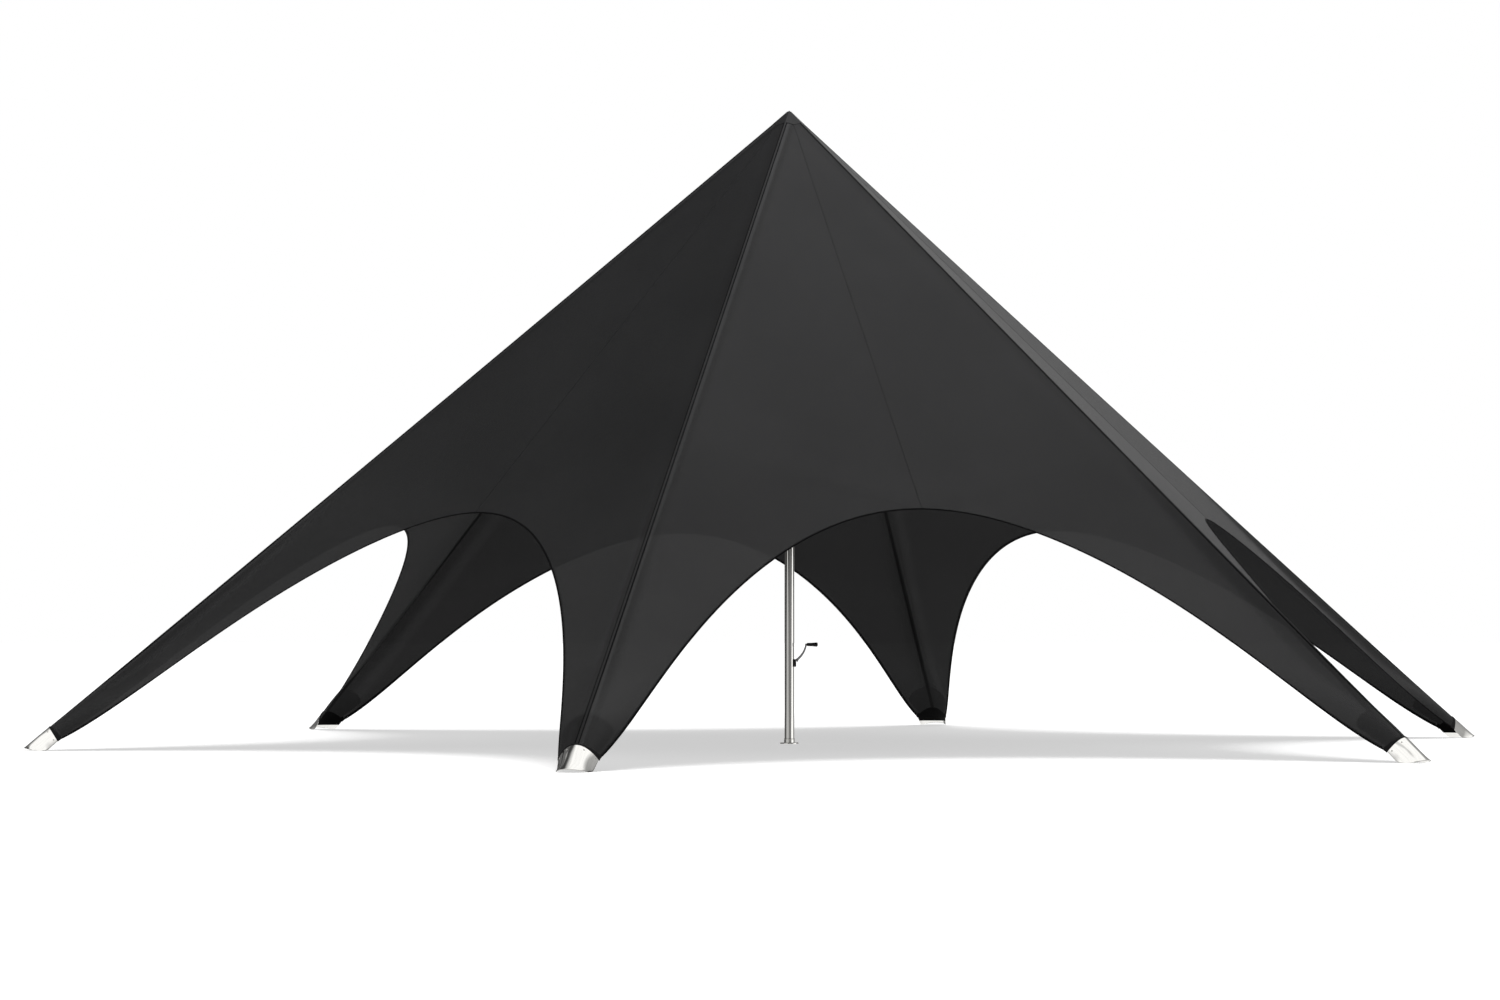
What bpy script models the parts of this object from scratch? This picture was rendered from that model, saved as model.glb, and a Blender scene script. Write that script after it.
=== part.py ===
"""Builds a six-legged star tent with its steel foot caps and its telescopic crank mast, in metres."""

import math

import bmesh
import bpy
import numpy as np
from mathutils import Matrix, Vector

# The legs, anticlockwise from +X as seen from above
LEGS = ("right", "back_right", "back_left", "left", "front_left", "front_right")
LEG_STEP = math.radians(60)

# The ridge of a leg, which hangs a little below a straight line from the peak to the foot
PEAK_HEIGHT = 5.496
RIDGE_DROP = 0.8428
RIDGE_SAG = 0.0125
RIDGE_REACH = 6.348
ALONG = Vector((1, 0, -RIDGE_DROP)).normalized()
INTO_TENT = Vector((-RIDGE_DROP, 0, -1)).normalized()

# The edge of an opening: sideways from its middle, out from the mast, and up
ARCH_POINTS = (
    (0.000, 3.620, 1.910),
    (0.924, 3.836, 1.707),
    (1.572, 4.198, 1.340),
    (2.094, 4.606, 0.923),
    (2.631, 5.119, 0.397),
    (2.979, 5.468, 0.094),
)
ARCH_CELLS = 12
PATCH_TOP, CAP_TOP, CLOTH_END = 2.80, 2.945, 2.979

# The cloth, in strips across the leg, and the roll that the webbing makes in it near the foot
CLOTH = 0.006
FIT_GAP = 0.0003
SEAM_GAP = 0.00015
PEAK_HOLE, PEAK_CAP_REACH = 0.10, 0.14
UPPER_STATIONS = (PEAK_HOLE, PEAK_CAP_REACH, 0.5, 1.0, 1.6, 2.3, 3.0)
STRIPS = ((0.02, 0.13), (0.045, 0.29), (0.075, 0.49), (0.115, 0.70))
OUTER_STRIPS = (0.35, 0.68, 1.0)
ROLL_DEPTH, ROLL_WIDTH = 0.06, 0.06
ROLL_STARTS, ROLL_FULL = 3.6, 5.0
ROUND_STARTS, ROUND_FULL = 5.5, 6.3

# Steel foot cap: station along the ridge, half width, depth of the section
CAP_STATIONS = (
    (6.360, 0.141, 0.124),
    (6.410, 0.133, 0.124),
    (6.455, 0.126, 0.095),
    (6.500, 0.114, 0.036),
)
CAP_PLATE = 0.006

# Mast
SIDES = 32
BASE_RADIUS, BASE_THICK = 0.080, 0.010
COLLAR_RADIUS, COLLAR_TOP = 0.049, 0.046
LOWER_RADIUS, LOWER_WALL, LOWER_TOP = 0.042, 0.003, 2.70
UPPER_RADIUS, UPPER_WALL, UPPER_BOTTOM, UPPER_TOP = 0.035, 0.003, 2.05, 5.37
GUIDE_RADIUS, GUIDE_HEIGHT = 0.048, 0.070
SLIDE_GAP = 0.0004
HEAD_RADIUS, HEAD_TIP_RADIUS, HEAD_GAP = 0.058, 0.014, 0.0005
SEAM_DROP = 0.9906

# Crank, on an axis that points between two legs
CRANK_TURN = math.radians(-30)
CRANK_HEIGHT = 0.718
HOUSING_SIZE = (0.0135, 0.044, 0.066)
HOUSING_DROP = 0.021
SHAFT_RADIUS, SHAFT_BORE = 0.0090, 0.0097
SHAFT_SPAN = (0.0440, 0.0720)
ARM_START_WIDTH, ARM_END_WIDTH, ARM_THICK = 0.022, 0.013, 0.010
ARM_PATH = ((0.0640, 0.004), (0.1020, 0.034), (0.1410, 0.078), (0.1490, 0.146))
GRIP_OFFSET = 0.138
PIN_RADIUS, PIN_BORE = 0.0050, 0.0056
PIN_SPAN = (0.140, 0.241)
GRIP_SPAN = (0.158, 0.250)
GRIP_RADII = (0.0145, 0.0160, 0.0190)


def clear_scene():
    for old in list(bpy.data.objects):
        bpy.data.objects.remove(old, do_unlink=True)


def make_material(name, color, roughness, metallic):
    material = bpy.data.materials.new(name)
    material.use_nodes = True
    shader = material.node_tree.nodes["Principled BSDF"]
    shader.inputs["Base Color"].default_value = (*color, 1)
    shader.inputs["Roughness"].default_value = roughness
    shader.inputs["Metallic"].default_value = metallic
    material.diffuse_color = (*color, 1)
    return material


def add_object(name, bm, material, collection):
    """Turns a bmesh into a named object with its faces outwards."""
    bmesh.ops.recalc_face_normals(bm, faces=bm.faces)
    mesh = bpy.data.meshes.new(name)
    bm.to_mesh(mesh)
    bm.free()
    mesh.materials.append(material)
    obj = bpy.data.objects.new(name, mesh)
    collection.objects.link(obj)
    return obj


def apply_boolean(obj, other, operation):
    modifier = obj.modifiers.new(other.name, "BOOLEAN")
    modifier.operation = operation
    modifier.solver = "EXACT"
    modifier.object = other


def smooth_step(value, low, high):
    share = min(max((value - low) / (high - low), 0), 1)
    return share * share * (3 - 2 * share)


# Places on the canopy, in the frame of one leg: X out along it, Y sideways, Z up

def ridge_sag(station):
    share = min(max(station / RIDGE_REACH, 0), 1)
    return 4 * RIDGE_SAG * share * (1 - share)


def ridge_point(station):
    return Vector((station, 0, PEAK_HEIGHT - RIDGE_DROP * station))


def arch_curves():
    """Even polynomials through the points of the arch: out and up, from sideways squared."""
    aside, out, up = np.array(ARCH_POINTS).T
    return np.polyfit(aside**2, out, 4), np.polyfit(aside**2, up, 4)


ARCH_OUT, ARCH_UP = arch_curves()


def hem_rung(aside):
    """Where the rung across the leg that ends at this place of the hem starts, its reach and its depth."""
    out = np.polyval(ARCH_OUT, aside**2)
    up = np.polyval(ARCH_UP, aside**2)
    turn = LEG_STEP / 2
    end = Vector((
        out * math.cos(turn) + aside * math.sin(turn),
        out * math.sin(turn) - aside * math.cos(turn),
        up,
    ))
    down = end - ridge_point(0)
    station = down.dot(ALONG) * ALONG.x
    return station, end.y, (end - ridge_point(station)).dot(INTO_TENT)


def upper_rungs():
    """Rungs from the ridge to the seam in the middle of an opening's panel, above the arch."""
    station, reach, depth = hem_rung(0)
    return [(r, reach * r / station, depth * r / station) for r in UPPER_STATIONS]


def leg_rungs():
    places = list(np.linspace(0, PATCH_TOP, ARCH_CELLS)) + [CAP_TOP, CLOTH_END]
    return [hem_rung(aside) for aside in places]


def strip_edges(reach):
    """Distances from the ridge at which the cloth is divided."""
    edges = [min(distance, share * reach) for distance, share in STRIPS]
    last = edges[-1]
    return [0.0] + edges + [last + (reach - last) * share for share in OUTER_STRIPS]


def section_depth(rung, aside):
    """How far the cloth lies inside the ridge at this distance from it."""
    station, reach, depth = rung
    share = aside / reach
    roll = ROLL_DEPTH * smooth_step(station, ROLL_STARTS, ROLL_FULL)
    gable = (depth - roll) * share + roll * (1 - math.exp(-((aside / ROLL_WIDTH) ** 2)))
    rounding = smooth_step(station, ROUND_STARTS, ROUND_FULL)
    return (1 - rounding) * gable + rounding * depth * share**2


def cloth_point(rung, aside):
    station, reach, _ = rung
    point = ridge_point(station) + INTO_TENT * section_depth(rung, abs(aside))
    point.y = aside
    point.z -= ridge_sag(station) * (1 - abs(aside) / reach)
    return point


def add_shell(rows, thickness, both_sides=False):
    """A closed plate whose upper face passes through these rows of points.

    A plate that spans both sides of the ridge is divided as the two gores under or over it are.
    """
    bm = bmesh.new()
    across, along = len(rows[0]) - 1, len(rows) - 1
    bmesh.ops.create_grid(bm, x_segments=across, y_segments=along, size=1)
    far_side = [f for f in bm.faces if both_sides and f.calc_center_median().x < 0]
    near_side = [f for f in bm.faces if f not in far_side]
    for vert in bm.verts:
        column = round((vert.co.x + 1) / 2 * across)
        row = round((vert.co.y + 1) / 2 * along)
        vert.co = rows[row][column]
    bmesh.ops.triangulate(bm, faces=near_side, quad_method="FIXED")
    if far_side:
        bmesh.ops.triangulate(bm, faces=far_side, quad_method="ALTERNATE")
    below = bmesh.ops.extrude_face_region(bm, geom=bm.faces[:])
    moved = [item for item in below["geom"] if isinstance(item, bmesh.types.BMVert)]
    bmesh.ops.translate(bm, verts=moved, vec=(0, 0, -thickness))
    return bm


def lowered(point, drop):
    return point - Vector((0, 0, drop))


def gore_rows(side):
    """Half of an opening's panel: from one ridge to the seam in the panel's middle."""
    rows = []
    for rung in upper_rungs() + leg_rungs():
        station, reach, depth = rung
        edges = strip_edges(reach)
        edges[0] = SEAM_GAP
        on_seam = station <= hem_rung(0)[0] + 1e-6
        edges[-1] -= 2 * SEAM_GAP if on_seam else 0
        rows.append([cloth_point(rung, side * aside) for aside in edges])
    return rows


def webbing_rows():
    """The strap sewn under the ridge, as wide as the first strip on both sides."""
    rows = []
    for rung in upper_rungs()[2:] + leg_rungs()[:ARCH_CELLS]:
        half = strip_edges(rung[1])[1]
        row = [lowered(cloth_point(rung, y), CLOTH + FIT_GAP) for y in (-half, 0, half)]
        rows.append(row)
    rows[-1] = [near.lerp(far, 0.99) for near, far in zip(rows[-2], rows[-1])]
    return rows


def patch_rows():
    """The stiff patch inside the end of the leg."""
    rows = []
    for rung in leg_rungs()[ARCH_CELLS - 1:]:
        half = strip_edges(rung[1])[:6]
        places = [-aside for aside in reversed(half[1:])] + half
        rows.append([lowered(cloth_point(rung, y), CLOTH + FIT_GAP) for y in places])
    return rows


def cap_rows():
    """The outside of a foot cap, from its upper edge over the cloth down to its toe."""
    over_cloth = leg_rungs()[-2:]
    rows = []
    for rung in over_cloth + list(CAP_STATIONS):
        half = strip_edges(rung[1])
        places = [-aside for aside in reversed(half[1:])] + half
        row = []
        for aside in places:
            point = cloth_point(rung, aside)
            row.append(lowered(point, -(FIT_GAP + CAP_PLATE)))
        rows.append(row)
    return rows


def turned_copy(obj, name, leg, collection):
    copy = bpy.data.objects.new(name, obj.data.copy())
    copy.rotation_euler.z = leg * LEG_STEP
    collection.objects.link(copy)
    return copy


def add_on_every_leg(part, bm, material, collection):
    """One piece per leg, each turned to its leg."""
    first = add_object(f"{LEGS[0]}_{part}", bm, material, collection)
    others = [
        turned_copy(first, f"{name}_{part}", leg, collection)
        for leg, name in enumerate(LEGS) if leg
    ]
    return [first] + others


def add_canopy(materials, collection):
    for side, part in ((1, "gore_a"), (-1, "gore_b")):
        bm = add_shell(gore_rows(side), CLOTH)
        add_on_every_leg(part, bm, materials["canopy"], collection)
    add_on_every_leg(
        "ridge_webbing", add_shell(webbing_rows(), 0.004, True), materials["webbing"], collection
    )
    add_on_every_leg(
        "foot_patch", add_shell(patch_rows(), 0.004, True), materials["patch"], collection
    )


def add_foot_caps(materials, collection, cutters):
    bm = bmesh.new()
    bmesh.ops.create_cube(bm, size=1)
    bmesh.ops.scale(bm, vec=(20, 20, 1), verts=bm.verts)
    bmesh.ops.translate(bm, vec=(0, 0, -0.5), verts=bm.verts)
    ground = add_object("ground_cutter", bm, materials["steel"], cutters)
    shell = add_shell(cap_rows(), CAP_PLATE, True)
    caps = add_on_every_leg("foot_cap", shell, materials["steel"], collection)
    for cap in caps:
        apply_boolean(cap, ground, "DIFFERENCE")


def add_peak_cap(materials, collection):
    """The reinforced cloth cone over the peak, on the ends of the second rung of every gore."""
    bm = bmesh.new()
    rung = upper_rungs()[1]
    ring = []
    for leg in range(len(LEGS)):
        turn = Matrix.Rotation(leg * LEG_STEP, 3, "Z")
        for aside in (0, rung[1]):
            ring.append(turn @ cloth_point(rung, aside))
    peak = ridge_point(0)
    for lift, inner in ((FIT_GAP, True), (FIT_GAP + CLOTH, False)):
        verts = [bm.verts.new(lowered(point, -lift)) for point in ring]
        top = bm.verts.new(lowered(peak, -lift))
        for here, there in zip(verts, verts[1:] + verts[:1]):
            bm.faces.new((there, here, top) if inner else (here, there, top))
        if inner:
            lower = verts
    for i, vert in enumerate(lower):
        nxt = (i + 1) % len(lower)
        bm.faces.new((vert, lower[nxt], verts[nxt], verts[i]))
    add_object("peak_cap", bm, materials["patch"], collection)


def lathe(profile, sides=SIDES):
    """Turns a closed profile of (radius, height) points about Z."""
    bm = bmesh.new()
    verts = [bm.verts.new((radius, 0, height)) for radius, height in profile]
    edges = [bm.edges.new(pair) for pair in zip(verts, verts[1:] + verts[:1])]
    bmesh.ops.spin(
        bm, geom=verts + edges, axis=(0, 0, 1), cent=(0, 0, 0),
        steps=sides, angle=2 * math.pi, use_merge=True,
    )
    bmesh.ops.remove_doubles(bm, verts=bm.verts, dist=1e-6)
    lone = [edge for edge in bm.edges if not edge.link_faces]
    bmesh.ops.delete(bm, geom=lone, context="EDGES")
    return bm


def tube_profile(outer, inner, bottom, top):
    return ((outer, bottom), (outer, top), (inner, top), (inner, bottom))


def add_mast(materials, collection):
    lower_bottom = BASE_THICK + FIT_GAP
    base = (
        (0, 0), (BASE_RADIUS, 0), (BASE_RADIUS, BASE_THICK - 0.002),
        (BASE_RADIUS - 0.002, BASE_THICK), (0, BASE_THICK),
    )
    add_object("mast_base_plate", lathe(base), materials["steel"], collection)
    collar = tube_profile(COLLAR_RADIUS, LOWER_RADIUS + FIT_GAP, lower_bottom, COLLAR_TOP)
    add_object("mast_base_collar", lathe(collar), materials["steel"], collection)
    lower = tube_profile(LOWER_RADIUS, LOWER_RADIUS - LOWER_WALL, lower_bottom, LOWER_TOP)
    add_object("lower_mast_tube", lathe(lower), materials["mast"], collection)
    guide = (
        (LOWER_RADIUS + FIT_GAP, LOWER_TOP - GUIDE_HEIGHT / 2),
        (GUIDE_RADIUS, LOWER_TOP - GUIDE_HEIGHT / 2),
        (GUIDE_RADIUS, LOWER_TOP + GUIDE_HEIGHT / 2),
        (UPPER_RADIUS + SLIDE_GAP, LOWER_TOP + GUIDE_HEIGHT / 2),
        (UPPER_RADIUS + SLIDE_GAP, LOWER_TOP + FIT_GAP),
        (LOWER_RADIUS + FIT_GAP, LOWER_TOP + FIT_GAP),
    )
    add_object("mast_guide_collar", lathe(guide), materials["plastic"], collection)
    upper = tube_profile(UPPER_RADIUS, UPPER_RADIUS - UPPER_WALL, UPPER_BOTTOM, UPPER_TOP)
    add_object("upper_mast_tube", lathe(upper), materials["mast"], collection)
    seat = PEAK_HEIGHT - HEAD_GAP
    tip = seat - SEAM_DROP * HEAD_TIP_RADIUS
    head = (
        (0, UPPER_TOP + FIT_GAP), (HEAD_RADIUS, UPPER_TOP + FIT_GAP),
        (HEAD_RADIUS, seat - SEAM_DROP * HEAD_RADIUS), (HEAD_TIP_RADIUS, tip),
        (HEAD_TIP_RADIUS / 2, tip + 0.005), (0, tip + 0.006),
    )
    add_object("mast_head", lathe(head), materials["plastic"], collection)


def along_crank(profile, sides):
    """A turned solid whose axis is the crank's axis, +X."""
    bm = lathe(profile, sides)
    bmesh.ops.rotate(bm, verts=bm.verts, matrix=Matrix.Rotation(math.radians(90), 3, "Y"))
    return bm


def rod_profile(radius, start, end):
    return ((0, start), (radius, start), (radius, end), (0, end))


def arm_outline():
    """Both sides of the crank arm, in the plane of the crank's axis and its radius."""
    start, pull_a, pull_b, end = (Vector(point) for point in ARM_PATH)
    left, right = [], []
    for share in np.linspace(0, 1, 13):
        rest = 1 - share
        point = (
            start * rest**3 + pull_a * 3 * rest**2 * share
            + pull_b * 3 * rest * share**2 + end * share**3
        )
        way = (
            (pull_a - start) * rest**2 + (pull_b - pull_a) * 2 * rest * share
            + (end - pull_b) * share**2
        ).normalized()
        width = ARM_START_WIDTH * rest + ARM_END_WIDTH * share
        offset = Vector((-way.y, way.x)) * width / 2
        left.append(point + offset)
        right.append(point - offset)
    return left + right[::-1]


def add_crank(materials, collection, cutters):
    crank_frame = bpy.data.objects.new("crank_axis", None)
    crank_frame.location = (0, 0, CRANK_HEIGHT)
    crank_frame.rotation_euler.z = CRANK_TURN
    collection.objects.link(crank_frame)

    depth = HOUSING_SIZE[0]
    bm = bmesh.new()
    bmesh.ops.create_cube(bm, size=1)
    bmesh.ops.scale(bm, vec=HOUSING_SIZE, verts=bm.verts)
    place = (LOWER_RADIUS + FIT_GAP + depth / 2, 0, -HOUSING_DROP)
    bmesh.ops.translate(bm, vec=place, verts=bm.verts)
    housing = add_object("winch_housing", bm, materials["painted"], collection)
    housing.parent = crank_frame
    bore = add_object(
        "shaft_bore_cutter", along_crank(rod_profile(SHAFT_BORE, 0.02, 0.09), 24),
        materials["painted"], cutters,
    )
    bore.parent = crank_frame
    apply_boolean(housing, bore, "DIFFERENCE")

    bm = bmesh.new()
    outline = [bm.verts.new((x, -ARM_THICK / 2, z)) for x, z in arm_outline()]
    face = bm.faces.new(outline)
    side = bmesh.ops.extrude_face_region(bm, geom=[face])
    moved = [item for item in side["geom"] if isinstance(item, bmesh.types.BMVert)]
    bmesh.ops.translate(bm, verts=moved, vec=(0, ARM_THICK, 0))
    arm = add_object("crank_arm", bm, materials["steel"], collection)
    arm.parent = crank_frame
    shaft = add_object(
        "shaft_joiner", along_crank(rod_profile(SHAFT_RADIUS, *SHAFT_SPAN), 24),
        materials["steel"], cutters,
    )
    pin = add_object(
        "pin_joiner", along_crank(rod_profile(PIN_RADIUS, *PIN_SPAN), 16),
        materials["steel"], cutters,
    )
    pin.location.z = GRIP_OFFSET
    for joined in (shaft, pin):
        joined.parent = crank_frame
        apply_boolean(arm, joined, "UNION")

    grip_axis = bpy.data.objects.new("grip_axis", None)
    grip_axis.location = (0, 0, GRIP_OFFSET)
    grip_axis.parent = crank_frame
    collection.objects.link(grip_axis)
    start, end = GRIP_SPAN
    slim, middle, wide = GRIP_RADII
    grip = (
        (PIN_BORE, start), (slim - 0.002, start), (slim, start + 0.003),
        (middle, start + 0.045), (wide, end - 0.012), (wide - 0.002, end - 0.003),
        (wide - 0.007, end), (0, end), (0, end - 0.006), (PIN_BORE, end - 0.006),
    )
    handle = add_object("crank_grip", along_crank(grip, 24), materials["plastic"], collection)
    handle.parent = grip_axis


def main():
    clear_scene()
    materials = {
        "canopy": make_material("canopy_cloth", (0.040, 0.039, 0.041), 0.72, 0),
        "webbing": make_material("black_webbing", (0.012, 0.012, 0.012), 0.85, 0),
        "patch": make_material("black_reinforcement", (0.015, 0.015, 0.016), 0.6, 0),
        "steel": make_material("polished_steel", (0.72, 0.71, 0.69), 0.15, 1),
        "mast": make_material("satin_aluminium", (0.78, 0.78, 0.77), 0.28, 1),
        "painted": make_material("black_paint", (0.02, 0.02, 0.02), 0.45, 0),
        "plastic": make_material("black_plastic", (0.018, 0.018, 0.018), 0.5, 0),
    }
    tent = bpy.data.collections.new("star_tent")
    cutters = bpy.data.collections.new("cutters")
    cutters.hide_render = True
    for collection in (tent, cutters):
        bpy.context.scene.collection.children.link(collection)
    add_canopy(materials, tent)
    add_foot_caps(materials, tent, cutters)
    add_peak_cap(materials, tent)
    add_mast(materials, tent)
    add_crank(materials, tent, cutters)
    for helper in cutters.objects:
        helper.hide_render = True
        helper.display_type = "WIRE"


main()
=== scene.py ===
"""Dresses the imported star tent: cloth with seams and hems, polished foot caps and the crank mast."""

import math

import bmesh
import bpy
import numpy as np
from mathutils import Matrix, Vector


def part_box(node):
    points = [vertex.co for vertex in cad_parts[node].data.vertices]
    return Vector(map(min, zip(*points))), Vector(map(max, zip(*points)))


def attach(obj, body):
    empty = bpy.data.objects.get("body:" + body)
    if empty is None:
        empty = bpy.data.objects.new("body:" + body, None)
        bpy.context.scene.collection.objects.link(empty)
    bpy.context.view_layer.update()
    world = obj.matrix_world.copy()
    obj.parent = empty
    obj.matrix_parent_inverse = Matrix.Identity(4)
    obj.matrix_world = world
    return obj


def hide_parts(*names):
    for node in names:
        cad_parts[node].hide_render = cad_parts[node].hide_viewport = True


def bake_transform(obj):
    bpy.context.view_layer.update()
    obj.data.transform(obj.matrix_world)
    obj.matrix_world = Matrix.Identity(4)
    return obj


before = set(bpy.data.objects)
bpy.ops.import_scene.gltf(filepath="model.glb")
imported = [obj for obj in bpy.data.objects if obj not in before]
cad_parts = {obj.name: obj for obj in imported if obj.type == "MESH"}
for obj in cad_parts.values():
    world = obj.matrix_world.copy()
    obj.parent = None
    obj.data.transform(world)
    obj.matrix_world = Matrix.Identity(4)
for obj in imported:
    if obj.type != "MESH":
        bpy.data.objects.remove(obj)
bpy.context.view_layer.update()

# The legs, anticlockwise from +X as seen from above
LEGS = ("right", "back_right", "back_left", "left", "front_left", "front_right")
LEG_STEP = math.radians(60)
OPENING_TURN = LEG_STEP / 2

# The cloth, as it is built: its ridges, the edge of an opening and the roll over a leg
PEAK_HEIGHT = 5.496
RIDGE_DROP, RIDGE_SAG, RIDGE_REACH = 0.8428, 0.0125, 6.348
ALONG = np.array((1, 0, -RIDGE_DROP)) / math.hypot(1, RIDGE_DROP)
INTO_TENT = np.array((-RIDGE_DROP, 0, -1)) / math.hypot(1, RIDGE_DROP)
ARCH_POINTS = (
    (0.000, 3.620, 1.910),
    (0.924, 3.836, 1.707),
    (1.572, 4.198, 1.340),
    (2.094, 4.606, 0.923),
    (2.631, 5.119, 0.397),
    (2.979, 5.468, 0.094),
)
CAP_TOP, CLOTH_END = 2.945, 2.979
ROLL_DEPTH, ROLL_WIDTH = 0.06, 0.06
ROLL_STARTS, ROLL_FULL = 3.6, 5.0
ROUND_STARTS, ROUND_FULL = 5.5, 6.3

# The make of the cloth: its thickness and how finely it is modelled
CLOTH_THICK = 0.0015
ROWS_ABOVE_ARCH, ROWS_DOWN_LEG, COLUMNS = 36, 84, 26
COLUMN_SPREAD = 2.2
MERGE = 0.0002

# Seams, webbing and hems, and the stitches of the seams and hems
SEAM_TAPE_HALF, SEAM_COVER_HALF = 0.0165, 0.0082
SEAM_TAPE_LIFT, SEAM_COVER_LIFT = 0.0008, 0.0020
SEAM_STARTS, SEAM_ENDS = 0.12, 2.970
WEBBING_HALF, WEBBING_THICK = 0.017, 0.0042
HEM_OUTSIDE, HEM_INSIDE, HEM_SWELL = 0.011, 0.022, 0.0024
STITCH_PITCH, STITCH_LENGTH, STITCH_WIDTH = 0.011, 0.0072, 0.0016
SEAM_STITCHES, HEM_STITCHES, HEM_STITCH_RISE = 0.72, 0.55, 0.84

# The flat seam down a panel: its section across and up, where it ends and where its stitches lie
PANEL_SEAM = ((-0.0045, -0.0002), (-0.0040, 0.0008), (0, 0.0011), (0.0040, 0.0008), (0.0045, -0.0002))
PANEL_SEAM_END, PANEL_STITCHES, PANEL_STITCH_RISE = 0.996, 0.0026, 0.0010

# The patch inside the end of a leg, and where the hems end at the cap's rim
PATCH_STARTS, PATCH_ENDS = 2.76, 2.979
PATCH_THICK, PATCH_SHARE, PATCH_ROUND, PATCH_TOP = 0.0016, 0.86, 0.07, 0.35
HEM_END = 2.965

# Polished foot cap: station along the ridge, half width, depth and squareness of the section
CAP_STATIONS = (
    (6.360, 0.141, 0.124, 2.4),
    (6.410, 0.133, 0.124, 2.5),
    (6.455, 0.126, 0.095, 2.5),
    (6.500, 0.114, 0.036, 2.3),
)
CAP_EDGE, CAP_SIDE_DROP = 6.300, 0.018
CAP_PLATE, CAP_SHEET = 0.0063, 0.0030

# Eased edges of the caps and the crank arm: width, steps and the least angle between the faces
CAP_EASE, ARM_EASE = (0.0007, 2, 50), (0.0018, 3, 40)

# How far the toe is rounded off at its sides and corners, its bead, darker as painted shade along the
# toe, and how far the bead reaches
TOE_ROUND, TOE_CORNER, TOE_BEAD, BEAD_REACH = 0.022, 0.026, 0.0032, 0.90

# Rivets of a cap: how far down the cap, and the share of its half width
CAP_RIVETS = ((0.13, -0.88), (0.13, -0.44), (0.13, 0.44), (0.13, 0.88))
RIVET_RADIUS, RIVET_RISE = 0.0066, 0.0030

# The rim of the cloth at the upper edge of a cap, dark as painted shade where the cloth goes into the
# cap, and the black lining inside the cap, a sheet of painted shade in its mouth
RIM_START, RIM_END = 6.288, 6.304
RIM_HEIGHTS = (0.0006, 0.0042, 0.0062, 0.0068, 0.0066, 0.0058)
LINING_START, LINING_EDGE, LINING_THICK = 6.296, 0.038, 0.0024

# What each face of the cloth stops: 0.8 % of the light comes straight through both
CLOTH_COVER = 0.9106

# Painted light and shade on the cloth by distance to either side of a ridge: on the outside, painted
# shade in its folds and a painted highlight band; on the inside, a painted light band and painted shade
# at the ridge
PAINTED_BANDS_REACH = 0.25
RIDGE_PAINTED_LIGHT = (
    (-0.25, 1.0), (-0.12, 1.1), (-0.06, 0.9), (-0.018, 0.8), (0.014, 1.0), (0.023, 2.1), (0.036, 2.1),
    (0.052, 0.6), (0.078, 0.6), (0.1, 1.0), (0.25, 1.0),
)
INSIDE_PAINTED_LIGHT = (
    (-0.25, 1.1), (-0.19, 1.7), (-0.14, 1.7), (-0.09, 1.0), (-0.03, 0.8), (0.03, 0.8), (0.08, 1.1),
    (0.25, 1.1),
)

# How much lighter and warmer the cloth is near the ground, and the heights where this fades
LOW_TINT, LOW_TINT_FULL, LOW_TINT_ENDS = (1.24, 1.22, 1.19), 0.3, 2.4

# The peak cap's height over the cloth at its edge, what is added at the peak, and its thickness
PEAK_CAP_LIFT, PEAK_CAP_CROWN, PEAK_CAP_THICK = 0.0026, 0.0022, 0.0024

# Mast: the tubes' wall, the play of a sliding fit, the base collar's step and the slope of the head
TUBE_WALL, SLIDING_FIT, COLLAR_STEP = 0.003, 0.0002, 0.0042
TUBE_SIDES = 128
HEAD_UNDER_PEAK, HEAD_SLOPE = 0.0062, 0.9906

# Crank, on an axis that points between two legs
CRANK_TURN = math.radians(-30)
CRANK_HEIGHT = 0.718
SHAFT_RADIUS, SHAFT_BORE, SHAFT_SPAN = 0.0090, 0.0097, (0.0440, 0.0725)
ARM_START_WIDTH, ARM_END_WIDTH, ARM_THICK = 0.022, 0.013, 0.010
ARM_PATH = ((0.0640, 0.004), (0.1020, 0.034), (0.1410, 0.078), (0.1490, 0.146))
GRIP_OFFSET = 0.138
PIN_RADIUS, PIN_BORE, PIN_SPAN = 0.0050, 0.0056, (0.140, 0.241)
GRIP_SPAN = (0.158, 0.250)
GRIP_RADII = (0.0145, 0.0160, 0.0190)
RING_DEPTH, RING_PITCH = 0.0005, 0.009
NUT_RADIUS, NUT_HEIGHT = 0.0135, 0.004
WASHER_RADIUS, WASHER_SPAN = 0.0105, (0.1525, 0.1550)
BRACKET_CORNER, BRACKET_EDGE = 0.004, 0.0015
SCREW_HEIGHTS = (0.008, 0.022)

# Studio: a wide lamp over the tent
LAMP_PLACE, LAMP_WIDTH, LAMP_POWER = (-0.54, -1.82, 10.2), 7.5, 1140

# What is mirrored: a pale dome above, walls round the tent, and white below, by how steep the way is
DOME_LEVEL, DOME_STARTS, DOME_FULL = 1.12, 0.38, 0.56
FLOOR_STARTS, FLOOR_FULL = -0.10, -0.35
WALL_STARTS, WALL_FULL = 0.07, 0.12

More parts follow.
